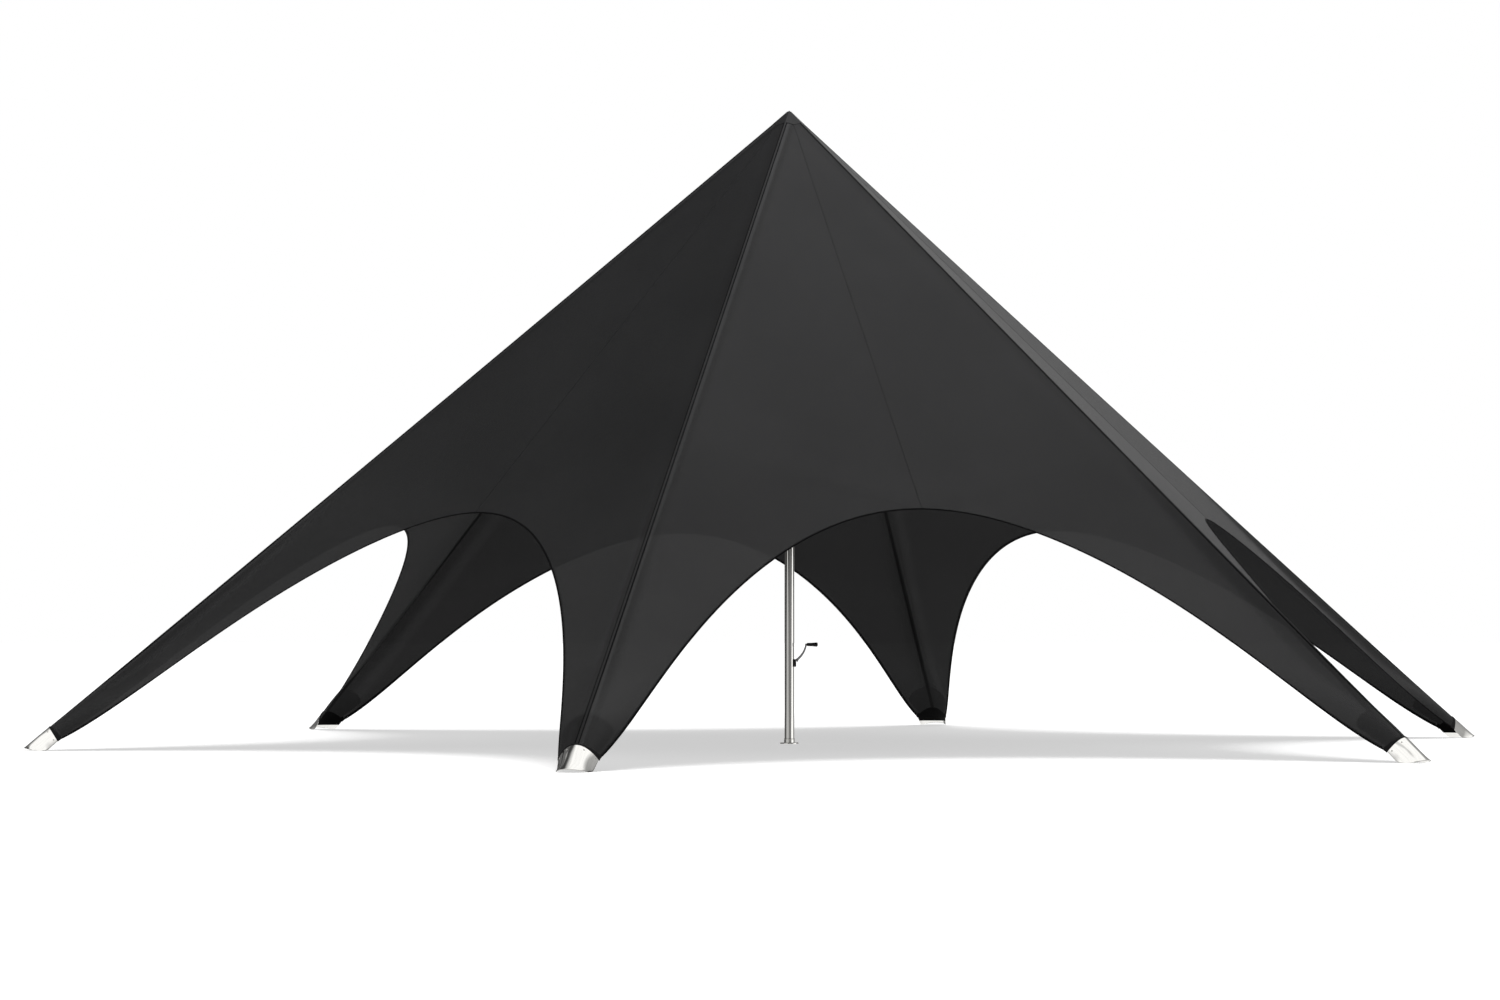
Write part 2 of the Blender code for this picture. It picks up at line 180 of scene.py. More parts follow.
# By compass angle: the walls' level near the ground and above, and how much higher the dome starts
LOW_LEVELS = (
    (-180, 0.55), (-130, 0.60), (-116, 0.24), (-66, 0.24), (-58, 1.4), (-16, 1.4),
    (-8, 0.36), (66, 0.36), (80, 0.10), (170, 0.10), (180, 0.55),
)
WALL_LEVELS = (
    (-180, 0.60), (-130, 0.60), (-116, 0.30), (-66, 0.30), (-8, 0.42), (24, 0.33), (54, 0.30), (60, 0.85),
    (74, 0.85), (82, 0.14), (114, 0.14), (124, 0.30), (170, 0.50), (180, 0.60),
)
WALL_RISE = (
    (-180, 0.0), (-30, 0.0), (-16, 0.09), (26, 0.09), (36, 0.20), (66, 0.20), (84, 0.40),
    (109, 0.40), (121, 0.0), (180, 0.0),
)

# Darker patches of the dome: the way to each, how near it is full and how near it starts, its level
FLAGS = (
    ((-0.159, 0.598, 0.786), 0.9740, 0.9100, 0.05),
    ((-0.146, -0.362, 0.921), 0.9986, 0.9880, 0.70),
)

# The share of that light which falls on dull surfaces, and the floor's glow near the tent and far off
DIFFUSE_SHARE = 0.25
FLOOR_GLOW, FLOOR_GLOW_FAR, GLOW_STARTS, GLOW_FULL = 0.575, 1.05, 7.0, 12.0

# The floor, which lies just under the feet
FLOOR_RADIUS, FLOOR_UNDER = 220, 0.0005

# Camera at the photograph's place and angle
CAMERA_PLACE = (-8.773, -29.800, 0.989)
CAMERA_TURN = (92.0618, 0.0, -15.7753)
CAMERA_LENS, CAMERA_SENSOR = 86.11, 36.0


# Node trees

def connect(tree, node, inputs):
    """Sets a node's inputs to values, sockets or the first outputs of other nodes."""
    for name, value in dict(inputs).items():
        if isinstance(value, bpy.types.Node):
            value = value.outputs[0]
        if isinstance(value, bpy.types.NodeSocket):
            tree.links.new(value, node.inputs[name])
        else:
            node.inputs[name].default_value = value
    return node


def add_node(tree, kind, inputs=(), **settings):
    node = tree.nodes.new(kind)
    for name, value in settings.items():
        setattr(node, name, value)
    return connect(tree, node, inputs)


def math_node(tree, operation, first, second=0.0):
    return add_node(tree, "ShaderNodeMath", {0: first, 1: second}, operation=operation)


def new_geometry_tree(name, **inputs):
    """A tree with a mesh input and named inputs for its sizes, and what it is given."""
    tree = bpy.data.node_groups.new(name, "GeometryNodeTree")
    for way in ("INPUT", "OUTPUT"):
        tree.interface.new_socket("Geometry", in_out=way, socket_type="NodeSocketGeometry")
    for label, kind in inputs.items():
        tree.interface.new_socket(label, in_out="INPUT", socket_type=f"NodeSocket{kind}")
    return tree, add_node(tree, "NodeGroupInput").outputs


def end_tree(tree, copies, material):
    """Realizes the copies that a tree has made and gives them their material."""
    real = add_node(tree, "GeometryNodeRealizeInstances", {"Geometry": copies})
    merged = add_node(tree, "GeometryNodeMergeByDistance", {"Geometry": real, "Distance": MERGE})
    painted = add_node(tree, "GeometryNodeSetMaterial", {"Geometry": merged, "Material": material})
    add_node(tree, "NodeGroupOutput", {"Geometry": painted})
    return tree


def round_the_mast_tree():
    """Repeats a mesh round the mast, once for each leg."""
    tree, given = new_geometry_tree("round_the_mast", Copies="Int", Step="Float", Material="Material")
    points = add_node(tree, "GeometryNodePoints", {"Count": given["Copies"]})
    index = add_node(tree, "GeometryNodeInputIndex")
    turn = math_node(tree, "MULTIPLY", index, given["Step"])
    angles = add_node(tree, "ShaderNodeCombineXYZ", {"Z": turn})
    rotation = add_node(tree, "FunctionNodeEulerToRotation", {"Euler": angles})
    copies = add_node(tree, "GeometryNodeInstanceOnPoints", {
        "Points": points, "Instance": given["Geometry"], "Rotation": rotation,
    })
    return end_tree(tree, copies, given["Material"])


def lay_balls(tree, points, along, ball, size, material):
    """Lays scaled balls on points, their Z on the surface's normal and their X along a way."""
    plain = add_node(tree, "GeometryNodeMeshUVSphere", ball)
    scale = add_node(tree, "ShaderNodeCombineXYZ", dict(zip("XYZ", size)))
    scaled = add_node(tree, "GeometryNodeTransform", {"Geometry": plain, "Scale": scale})
    up = add_node(
        tree, "GeometryNodeInputNamedAttribute", {"Name": "face_up"}, data_type="FLOAT_VECTOR"
    )
    rotation = add_node(
        tree, "FunctionNodeAxesToRotation", {"Primary Axis": up, "Secondary Axis": along},
        primary_axis="Z", secondary_axis="X",
    )
    laid = add_node(tree, "GeometryNodeInstanceOnPoints", {
        "Points": points, "Instance": scaled, "Rotation": rotation,
    })
    return end_tree(tree, laid, material)


def stitch_row_tree():
    """Lays stitches along rows of edges that carry the cloth's normal."""
    tree, given = new_geometry_tree(
        "stitch_row", Pitch="Float", Length="Float", Width="Float", Material="Material"
    )
    row = add_node(tree, "GeometryNodeMeshToCurve", {"Mesh": given["Geometry"]})
    even = add_node(
        tree, "GeometryNodeResampleCurve", {"Curve": row, "Length": given["Pitch"]}, mode="LENGTH"
    )
    tangent = add_node(tree, "GeometryNodeInputTangent")
    thread = {"Segments": 4, "Rings": 2, "Radius": 0.5}
    size = (given["Length"], given["Width"], given["Width"])
    return lay_balls(tree, even, tangent, thread, size, given["Material"])


def rivet_tree():
    """Sets a round-headed rivet on each point that carries the cap's normal."""
    tree, given = new_geometry_tree("rivets", Radius="Float", Rise="Float", Material="Material")
    down_leg = add_node(tree, "FunctionNodeInputVector", vector=tuple(ALONG))
    head = {"Segments": 20, "Rings": 10, "Radius": 1.0}
    size = (given["Radius"], given["Radius"], given["Rise"])
    return lay_balls(tree, given["Geometry"], down_leg, head, size, given["Material"])


# Materials

# Colours in the dark and light parts of a finish, and the weave of the cloth
BLACK_CLOTH = ((0.0044, 0.0044, 0.0047), (0.0060, 0.0060, 0.0063))
INSIDE_CLOTH = ((0.0078, 0.0078, 0.0080), (0.0098, 0.0098, 0.0100))
PATCH_CLOTH = ((0.0120, 0.0120, 0.0122), (0.0150, 0.0150, 0.0152))
LOAD_WEBBING = ((0.0042, 0.0042, 0.0043), (0.0056, 0.0056, 0.0057))
HEM_WEBBING = ((0.0012, 0.0012, 0.0013), (0.0022, 0.0022, 0.0023))
CLOTH_WEAVE = ((0.0009, 0.0009), 0.00008)
BAND_WEAVE = ((0.0016, 0.0028), 0.00030)
CLOUD_SCALE, SLUB_SCALE = 0.9, 140.0

# Thread, paint and plastic: name, dark and light colour, roughness, fineness and bump, and gloss
MOULDED = {
    # The rim's darker cloth is painted shade where the cloth goes into the cap
    "rim": (
        "rim_cloth_painted_shade", (0.0030, 0.0030, 0.0032), (0.0044, 0.0044, 0.0046), 0.60,
        420.0, 0.00012, 0.12,
    ),
    "felled": (
        "felled_seam_cloth", (0.0038, 0.0038, 0.0040), (0.0053, 0.0053, 0.0055), 0.50,
        420.0, 0.00012, 0.17,
    ),
    # The cap's black lining is painted shade in the cap's mouth
    "cap_mouth_painted_shade": (
        "cap_lining_painted_shade", (0.0010, 0.0010, 0.0010), (0.0018, 0.0018, 0.0018), 0.70,
        420.0, 0.00012, 0.03,
    ),
    "thread": (
        "black_sewing_thread", (0.003, 0.003, 0.003), (0.005, 0.005, 0.005), 0.50,
        900.0, 0.00005, 0.2,
    ),
    "paint": (
        "black_bracket_paint", (0.005, 0.005, 0.005), (0.009, 0.009, 0.009), 0.45,
        700.0, 0.00010, 0.25,
    ),
    "plastic": (
        "black_moulded_plastic", (0.005, 0.005, 0.005), (0.009, 0.009, 0.009), 0.50,
        900.0, 0.00015, 0.25,
    ),
}

# Metals: name, dark and light colour, roughness, fineness of the marks along X, Y and Z, and bump
METALS = {
    "steel": (
        "polished_cap_steel", (0.84, 0.83, 0.80), (0.90, 0.89, 0.86), 0.08,
        (70.0, 4.0, 1.0), 0.000003,
    ),
    "rivet": (
        "rivet_steel", (0.50, 0.49, 0.47), (0.60, 0.59, 0.57), 0.22, (180.0, 180.0, 180.0), 0.00002,
    ),
    "arm": (
        "drawn_arm_steel", (0.28, 0.28, 0.28), (0.33, 0.33, 0.33), 0.48, (90.0, 90.0, 500.0), 0.00008,
    ),
    "tube": (
        "drawn_mast_aluminium", (0.76, 0.75, 0.72), (0.80, 0.79, 0.76), 0.06,
        (40.0, 40.0, 0.6), 0.0000003,
    ),
}

# The values between which a noise mostly lies
NOISE_LOW, NOISE_HIGH = 0.35, 0.65

# The vector sockets of a Mix node, whose names are shared by its sockets of other types
MIX_FIRST, MIX_SECOND, MIX_RESULT = 4, 5, 1


def new_material(name, color, roughness, metallic=0.0, **sockets):
    """A material whose even values are set on the shader's own sockets."""
    material = bpy.data.materials.new(name)
    material.use_nodes = True
    tree = material.node_tree
    values = {"Base Color": (*color, 1), "Roughness": roughness, "Metallic": metallic}
    values.update({key.replace("_", " "): value for key, value in sockets.items()})
    return material, tree, connect(tree, tree.nodes["Principled BSDF"], values)


def stretched(tree, place, stretch):
    """Coordinates stretched so that a grain can run one way."""
    return add_node(tree, "ShaderNodeMapping", {"Vector": place, "Scale": stretch})


def object_place(tree, stretch=(1, 1, 1)):
    return stretched(tree, add_node(tree, "ShaderNodeTexCoord").outputs["Object"], stretch)


def own_lengths(tree):
    """A piece's own lengths in metres, across and along it."""
    return add_node(tree, "ShaderNodeUVMap", uv_map="lengths")


def parts(tree, vector):
    """The X, Y and Z of a vector."""
    return add_node(tree, "ShaderNodeSeparateXYZ", {"Vector": vector}).outputs


def noise(tree, place, scale, detail=3.0):
    return add_node(tree, "ShaderNodeTexNoise", {"Vector": place, "Scale": scale, "Detail": detail})


def vary(tree, value, low, high, low_at=NOISE_LOW, high_at=NOISE_HIGH):
    """Spreads a value over a range."""
    return add_node(tree, "ShaderNodeMapRange", {
        "Value": value, "From Min": low_at, "From Max": high_at, "To Min": low, "To Max": high,
    })


def vector_node(tree, operation, first, second=(0, 0, 0)):
    return add_node(tree, "ShaderNodeVectorMath", {0: first, 1: second}, operation=operation)


def color_ramp(tree, share, stops):
    """A colour for a share, from stops of (share, colour)."""
    ramp = add_node(tree, "ShaderNodeValToRGB", {"Fac": share})
    elements = ramp.color_ramp.elements
    while len(elements) < len(stops):
        elements.new(0.5)
    for element, (place, color) in zip(elements, stops):
        element.position = place
        element.color = (*color, 1)
    return ramp


def shade_between(tree, value, dark, light):
    """A colour that goes from dark to light with a noise."""
    return color_ramp(tree, value, ((NOISE_LOW, dark), (NOISE_HIGH, light)))


def grey_ramp(tree, share, stops):
    return color_ramp(tree, share, [(place, (level, level, level)) for place, level in stops])


def finish_surface(tree, shader, color, roughness, height, distance):
    """Gives a shader its colour, its roughness and its bump."""
    bump = add_node(tree, "ShaderNodeBump", {
        "Height": height, "Distance": distance, "Strength": 1.0,
    })
    connect(tree, shader, {"Base Color": color, "Roughness": roughness, "Normal": bump})


def weave(tree, *pitches):
    """The height of threads that pass over and under each other, on the cloth's own lengths."""
    waves = [
        math_node(tree, "SINE", math_node(tree, "MULTIPLY", length, math.pi / pitch))
        for length, pitch in zip(parts(tree, own_lengths(tree)), pitches)
    ]
    return math_node(tree, "MULTIPLY", *waves)


def painted_light_by_ridge(tree, bands):
    """Painted highlight and painted shade on the cloth by its distance from a ridge, from bands of
    (distance, level).
    """
    across = parts(tree, own_lengths(tree))[0]
    share = vary(tree, across, 0.0, 1.0, -PAINTED_BANDS_REACH, PAINTED_BANDS_REACH)
    return grey_ramp(
        tree, share, [(0.5 + 0.5 * aside / PAINTED_BANDS_REACH, level) for aside, level in bands]
    )


def woven_material(name, colors, roughness, threads, gloss, bands=(), near_ground_tint=(), **sockets):
    """Woven cloth: threads in its bump; in its colour a faint cloudiness, bands of painted highlight and
    painted shade beside a ridge, and a lighter, warmer tint near the ground.
    """
    material, tree, shader = new_material(
        name, colors[0], roughness, Specular_IOR_Level=gloss, **sockets
    )
    place = object_place(tree)
    color = shade_between(tree, noise(tree, place, CLOUD_SCALE, 5.0), *colors)
    if bands:
        # Bands of painted highlight and painted shade beside a ridge, multiplied into the colour
        color = vector_node(tree, "MULTIPLY", color, painted_light_by_ridge(tree, bands))
    # Lighter and warmer towards the ground, fading out with height
    if near_ground_tint:
        free_of_tint = vary(tree, parts(tree, place)[2], 0.0, 1.0, LOW_TINT_FULL, LOW_TINT_ENDS)
        tint_mix = add_node(
            tree, "ShaderNodeMix", {"Factor": free_of_tint, MIX_FIRST: near_ground_tint, MIX_SECOND: (1, 1, 1)},
            data_type="VECTOR",
        )
        color = vector_node(tree, "MULTIPLY", color, tint_mix.outputs[MIX_RESULT])
    slub = noise(tree, place, SLUB_SCALE, 2.0)
    uneven = vary(tree, slub, roughness - 0.05, roughness + 0.05)
    pitches, bump = threads
    finish_surface(tree, shader, color, uneven, weave(tree, *pitches), bump)
    return material


def metal_material(name, dark, light, roughness, grain, bump, on_lengths=False):
    """Metal with fine marks that run one way, in its tone, roughness and bump."""
    material, tree, shader = new_material(name, light, roughness, 1.0)
    place = stretched(tree, own_lengths(tree), grain) if on_lengths else object_place(tree, grain)
    marks = noise(tree, place, 1.0, 4.0)
    color = shade_between(tree, marks, dark, light)
    uneven = vary(tree, marks, roughness * 1.3, roughness * 0.8)
    finish_surface(tree, shader, color, uneven, marks, bump)
    return material


def moulded_material(name, dark, light, roughness, scale, bump, gloss):
    """Plain cloth, thread, paint or plastic with a fine pebbled skin."""
    material, tree, shader = new_material(name, dark, roughness, Specular_IOR_Level=gloss)
    place = object_place(tree)
    skin = noise(tree, place, scale, 2.0)
    color = shade_between(tree, noise(tree, place, scale / 12), dark, light)
    uneven = vary(tree, skin, roughness - 0.06, roughness + 0.06)
    finish_surface(tree, shader, color, uneven, skin, bump)
    return material


def make_materials():
    materials = {
        # The cloth and its inside face carry painted light and shade in bands beside the ridges
        "cloth": woven_material(
            "tensioned_black_cloth", BLACK_CLOTH, 0.40, CLOTH_WEAVE, 0.215, RIDGE_PAINTED_LIGHT, LOW_TINT,
            Alpha=CLOTH_COVER,
        ),
        "lining": woven_material(
            "cloth_inside", INSIDE_CLOTH, 0.80, CLOTH_WEAVE, 0.12, INSIDE_PAINTED_LIGHT, Alpha=CLOTH_COVER,
        ),
        "patch": woven_material("patch_cloth", PATCH_CLOTH, 0.80, CLOTH_WEAVE, 0.12),
        "load_webbing": woven_material("black_load_webbing", LOAD_WEBBING, 0.80, BAND_WEAVE, 0.08),
        "seam": woven_material(
            "seam_cover_cloth", BLACK_CLOTH, 0.40, CLOTH_WEAVE, 0.215, near_ground_tint=LOW_TINT,
        ),
        "webbing": woven_material("black_hem_webbing", HEM_WEBBING, 0.80, BAND_WEAVE, 0.05),
    }
    for key, row in MOULDED.items():
        materials[key] = moulded_material(*row)
    for key, row in METALS.items():
        materials[key] = metal_material(*row, on_lengths=key == "steel")
    return materials


# Meshes

def running_length(points, axis):
    """Distance covered along one axis of a grid of points."""
    steps = np.linalg.norm(np.diff(points, axis=axis), axis=-1)
    start = np.zeros_like(np.take(steps, [0], axis=axis))
    return np.concatenate([start, np.cumsum(steps, axis=axis)], axis=axis)


def write_lengths(mesh, corners):
    """A UV map in metres, from one pair of lengths for each corner."""
    layer = mesh.uv_layers.new(name="lengths")
    layer.data.foreach_set("uv", np.asarray(corners, np.float32).ravel())


def loft(name, rows, around=False):
    """A skin over rows of points. Around closes each row on itself, and closes both ends."""
    rows = np.asarray(rows, float)
    count, width = rows.shape[:2]
    wide = np.concatenate([rows, rows[:, :1]], axis=1) if around else rows
    across, along = running_length(wide, 1), running_length(wide, 0)
    middle = (wide.shape[1] - 1) // 2
    across = across - across[:, middle:middle + 1]
    faces, corners = [], []
    for row in range(count - 1):
        for column in range(wide.shape[1] - 1):
            right = (column + 1) % width
            faces.append((
                row * width + column, (row + 1) * width + column,
                (row + 1) * width + right, row * width + right,
            ))
            for r, c in ((row, column), (row + 1, column), (row + 1, column + 1), (row, column + 1)):
                corners.append((across[r, c], along[r, middle]))
    if around:
        last = (count - 1) * width
        faces.append(tuple(range(width)))
        faces.append(tuple(range(last + width - 1, last - 1, -1)))
        corners += [(0.0, 0.0)] * (2 * width)
    mesh = bpy.data.meshes.new(name)
    mesh.from_pydata(rows.reshape(-1, 3).tolist(), [], faces)
    write_lengths(mesh, corners)
    if around:
        point_outwards(mesh)
    return mesh


def plate(name, upper, lower):
    """A closed plate between two grids of points."""
    return loft(name, np.concatenate([upper, lower[:, ::-1]], axis=1), around=True)


def point_outwards(mesh, merge=0.0):
    """Turns the faces outwards, once the corners closer than this are one."""
    bm = bmesh.new()
    bm.from_mesh(mesh)
    if merge:
        bmesh.ops.remove_doubles(bm, verts=bm.verts, dist=merge)
    bmesh.ops.recalc_face_normals(bm, faces=bm.faces)
    bm.to_mesh(mesh)
    bm.free()


def plain_mesh(bm, name):
    """The mesh of a bmesh, which is then freed."""
    mesh = bpy.data.meshes.new(name)
    bm.to_mesh(mesh)
    bm.free()
    return mesh


def put_in_scene(name, data):
    thing = bpy.data.objects.new(name, data)
    bpy.context.scene.collection.objects.link(thing)
    return thing


def add_piece(name, mesh, material=None, sharp=35):
    """A finished piece, shaded smooth but for its sharp edges, with its place in its mesh."""
    if material:
        mesh.materials.clear()
        mesh.materials.append(material)
    mesh.shade_smooth()
    mesh.set_sharp_from_angle(angle=math.radians(sharp))
    return put_in_scene(name, mesh)


def evaluated_copy(carrier):
    """The plain mesh of an object with its modifiers, which is then removed."""
    bpy.context.view_layer.update()
    graph = bpy.context.evaluated_depsgraph_get()
    mesh = bpy.data.meshes.new_from_object(carrier.evaluated_get(graph))
    bpy.data.objects.remove(carrier)
    return mesh


def made_by(tree, mesh, values):
    """The plain mesh that a tree makes from a mesh, with these values for its named inputs."""
    carrier = put_in_scene("carrier", mesh)
    modifier = carrier.modifiers.new("made", "NODES")
    modifier.node_group = tree
    for item in tree.interface.items_tree:
        if item.in_out == "INPUT" and item.name in values:
            modifier[item.identifier] = values[item.name]
    return evaluated_copy(carrier)


def with_modifier(mesh, kind, **settings):
    """The plain mesh that one of Blender's modifiers makes."""
    carrier = put_in_scene("carrier", mesh)
    modifier = carrier.modifiers.new("made", kind)
    for name, value in settings.items():
        setattr(modifier, name, value)
    return evaluated_copy(carrier)


def with_eased_edges(mesh, width, steps, from_angle):
    """The mesh with its edges rounded where they turn by more than an angle in degrees."""
    return with_modifier(
        mesh, "BEVEL", width=width, segments=steps, limit_method="ANGLE",
        angle_limit=math.radians(from_angle),
    )


def joined(meshes):
    """Several meshes as one."""
    bm = bmesh.new()
    for mesh in meshes:
        bm.from_mesh(mesh)
    return plain_mesh(bm, "joined")


def turned_mesh(profile, sides=96):
    """A closed profile of (radius, height) points turned about Z."""
    turns = np.linspace(0, 2 * math.pi, sides, endpoint=False)
    verts, rings, faces = [], [], []
    for radius, height in profile:
        ring = turns if radius else turns[:1]
        rings.append([len(verts) + side % len(ring) for side in range(sides + 1)])
        verts += [(radius * math.cos(turn), radius * math.sin(turn), height) for turn in ring]
    for ring, after in zip(rings, rings[1:] + rings[:1]):
        for side in range(sides):
            corners = dict.fromkeys((ring[side], ring[side + 1], after[side + 1], after[side]))
            if len(corners) > 2:
                faces.append(tuple(corners))
    mesh = bpy.data.meshes.new("turned")
    mesh.from_pydata(verts, [], faces)
    point_outwards(mesh)
    return mesh



# The shape of the cloth

def unit(vectors):
    return vectors / np.linalg.norm(vectors, axis=-1, keepdims=True)


def smooth_step(value, low, high):
    share = np.clip((value - low) / (high - low), 0, 1)
    return share * share * (3 - 2 * share)


def ridge_points(stations):
    return np.stack([stations, 0 * stations, PEAK_HEIGHT - RIDGE_DROP * stations], -1)


def arch_place(asides):
    """Out from the mast and up, for places along the edge of an opening."""
    aside, out, up = np.array(ARCH_POINTS).T
    out_curve = np.polyfit(aside**2, out, 4)
    up_curve = np.polyfit(aside**2, up, 4)
    return np.polyval(out_curve, asides**2), np.polyval(up_curve, asides**2)


def hem_rungs(asides):
    """Station, reach and depth of the rungs across a leg that end at these places of the hem."""
    asides = np.asarray(asides, float)
    out, up = arch_place(asides)
    side, forward = math.sin(OPENING_TURN), math.cos(OPENING_TURN)
    ends = np.stack([out * forward + asides * side, out * side - asides * forward, up], -1)
    stations = (ends - (0, 0, PEAK_HEIGHT)) @ ALONG * ALONG[0]
    depths = (ends - ridge_points(stations)) @ INTO_TENT
    return np.stack([stations, ends[:, 1], depths], -1)


def upper_rungs(shares):
    """Rungs at these shares of the way from the peak to the top of the arch."""
    return np.outer(shares, hem_rungs([0])[0])


def leg_and_panel_rungs(first_station=0.0, last_place=CLOTH_END):
    """Rungs from near the peak down to a place on the leg."""
    first_share = first_station / hem_rungs([0])[0, 0]
    shares = np.linspace(first_share, 1, ROWS_ABOVE_ARCH, endpoint=False)
    places = np.linspace(0, last_place, ROWS_DOWN_LEG)
    return np.concatenate([upper_rungs(shares), hem_rungs(places)])


def cloth(rungs, asides):
    """Points on the outside of the cloth, at these distances from the ridge along each rung."""
    station, reach, depth = (rungs[:, k:k + 1] for k in range(3))
    share = np.abs(asides) / np.maximum(reach, 1e-6)
    roll = ROLL_DEPTH * smooth_step(station, ROLL_STARTS, ROLL_FULL)
    gable = (depth - roll) * share + roll * (1 - np.exp(-((asides / ROLL_WIDTH) ** 2)))
    rounding = smooth_step(station, ROUND_STARTS, ROUND_FULL)
    inwards = (1 - rounding) * gable + rounding * depth * share**2
    way = np.clip(station / RIDGE_REACH, 0, 1)
    sag = 4 * RIDGE_SAG * way * (1 - way) * (1 - share)
    height = PEAK_HEIGHT - RIDGE_DROP * station - sag
    return np.stack([
        station + INTO_TENT[0] * inwards,
        asides + 0 * station,
        height + INTO_TENT[2] * inwards,
    ], -1)


def cloth_frames(rungs, asides):
    """Points on the cloth and the outward normals there."""
    step = 1e-4
    points = cloth(rungs, asides)
    sideways = cloth(rungs, asides + step) - cloth(rungs, asides - step)
    return points, unit(np.cross(np.gradient(points, axis=0), sideways))


def leg_columns(rungs, count):
    """Distances from the ridge, closer together near it, on both sides."""
    reach = rungs[:, 1:2]
    spread = np.maximum(COLUMN_SPREAD * reach, 1e-3)
    shares = np.expm1(spread * np.linspace(0, 1, count + 1)) / np.expm1(spread)
    one_side = reach * shares
    return np.concatenate([-one_side[:, :0:-1], one_side], axis=1)


def hem_frames():
    """Places along an opening's edge, with the ways into the cloth and out of its face."""
    rungs = hem_rungs(np.linspace(0, HEM_END, ROWS_DOWN_LEG))
    points, normals = (grid[:, 0] for grid in cloth_frames(rungs, rungs[:, 1:2]))
    forward = np.gradient(points, axis=0)
    inwards = np.cross(forward, normals)
    towards_ridge = cloth(rungs, rungs[:, 1:2] * 0.9)[:, 0] - points
    inwards = unit(inwards * np.sign(np.sum(inwards * towards_ridge, axis=1))[:, None])
    turn = np.array(Matrix.Rotation(-OPENING_TURN, 3, "Z"))
    half = [grid @ turn.T for grid in (points, inwards, normals)]
    mirrored = [grid[:0:-1] * (1, -1, 1) for grid in half]
    whole = [np.concatenate([far, near]) for far, near in zip(mirrored, half)]
    back = np.array(Matrix.Rotation(OPENING_TURN, 3, "Z"))
    return [grid @ back.T for grid in whole]


def seam_frames():
    """Places down the seam in the middle of a panel, with the ways across it and out of its face."""
    shares = np.linspace(SEAM_STARTS / hem_rungs([0])[0, 0], PANEL_SEAM_END, ROWS_ABOVE_ARCH)
    rungs = upper_rungs(shares)
    points = cloth(rungs, rungs[:, 1:2])[:, 0]
    across = np.array((-math.sin(OPENING_TURN), math.cos(OPENING_TURN), 0))
    up = np.cross(unit(points[-1] - points[0]), across)
    return points, np.tile(across, (len(points), 1)), np.tile(up, (len(points), 1))


def swept(name, frames, section):
    """A closed strip: the section's points lie across and up from each place."""
    places, across, up = frames
    rows = [
        [place + a * sideways + h * upwards for a, h in section]
        for place, sideways, upwards in zip(places, across, up)
    ]
    return loft(name, rows, around=True)


def strip_over_ridge(name, rungs, half, bottom, top, columns=7):
    """A closed strip that follows a ridge, with its faces lifted off the outside of the cloth."""
    spread = np.linspace(-1, 1, columns)
    points, normals = cloth_frames(rungs, half * spread * np.ones((len(rungs), 1)))
    crown = (top - bottom) * (1 - 0.6 * spread**6)
    upper = points + normals * (bottom + crown)[None, :, None]
    lower = points + normals * bottom
    return plate(name, upper, lower)


def stitch_lines(rows):
    """Rows of edges for stitches to be laid on: each row is its points and normals."""
    verts, normals, edges = [], [], []
    for points, ups in rows:
        first = len(verts)
        verts += points.tolist()
        normals += ups.tolist()
        edges += [(i, i + 1) for i in range(first, len(verts) - 1)]
    mesh = bpy.data.meshes.new("stitch_lines")
    mesh.from_pydata(verts, edges, [])
    attribute = mesh.attributes.new("face_up", "FLOAT_VECTOR", "POINT")
    attribute.data.foreach_set("vector", np.asarray(normals, np.float32).ravel())
    return mesh


# Pieces of cloth

class Workshop:
    """The trees and materials that the pieces are made with."""

    def __init__(self):
        self.materials = make_materials()
        self.round_the_mast = round_the_mast_tree()
        self.stitch_row = stitch_row_tree()
        self.rivets = rivet_tree()

    def on_every_leg(self, mesh, material):
        return made_by(self.round_the_mast, mesh, {
            "Copies": len(LEGS), "Step": LEG_STEP, "Material": self.materials[material],
        })

    def stitches(self, rows):
        return made_by(self.stitch_row, stitch_lines(rows), {
            "Pitch": STITCH_PITCH, "Length": STITCH_LENGTH, "Width": STITCH_WIDTH,
            "Material": self.materials["thread"],
        })

    def sew(self, name, mesh, material, slot, nodes=()):
        """A piece of cloth or thread, the same on every leg, that hangs on the mast."""
        return hang_on_mast(add_piece(name, self.on_every_leg(mesh, material)), nodes)


def on_legs(part):
    return [f"{leg}_{part}" for leg in LEGS]


def hang_on_mast(piece, nodes=()):
    """Bakes the piece's place into its mesh and hides the imported nodes that it stands for."""
    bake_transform(piece)
    return declare(piece, nodes)


def fix_to(body, piece, nodes=()):
    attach(piece, body)
    return declare(piece, nodes)


def declare(piece, nodes):
    if nodes:
        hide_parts(*nodes)
    return piece


def make_canopy(shop):
    """One sheet of cloth over the whole tent."""
    rungs = leg_and_panel_rungs()
    sector = loft("canopy", cloth(rungs, leg_columns(rungs, COLUMNS)))
    sheet = shop.on_every_leg(sector, "cloth")
    area = sum(face.area for face in sheet.polygons)
    sheet.materials.append(shop.materials["lining"])
    walls = with_modifier(sheet, "SOLIDIFY", thickness=CLOTH_THICK, offset=-1, material_offset=1)
    canopy = add_piece("canopy", walls)
    hang_on_mast(canopy, on_legs("gore_a") + on_legs("gore_b"))
    return canopy, area


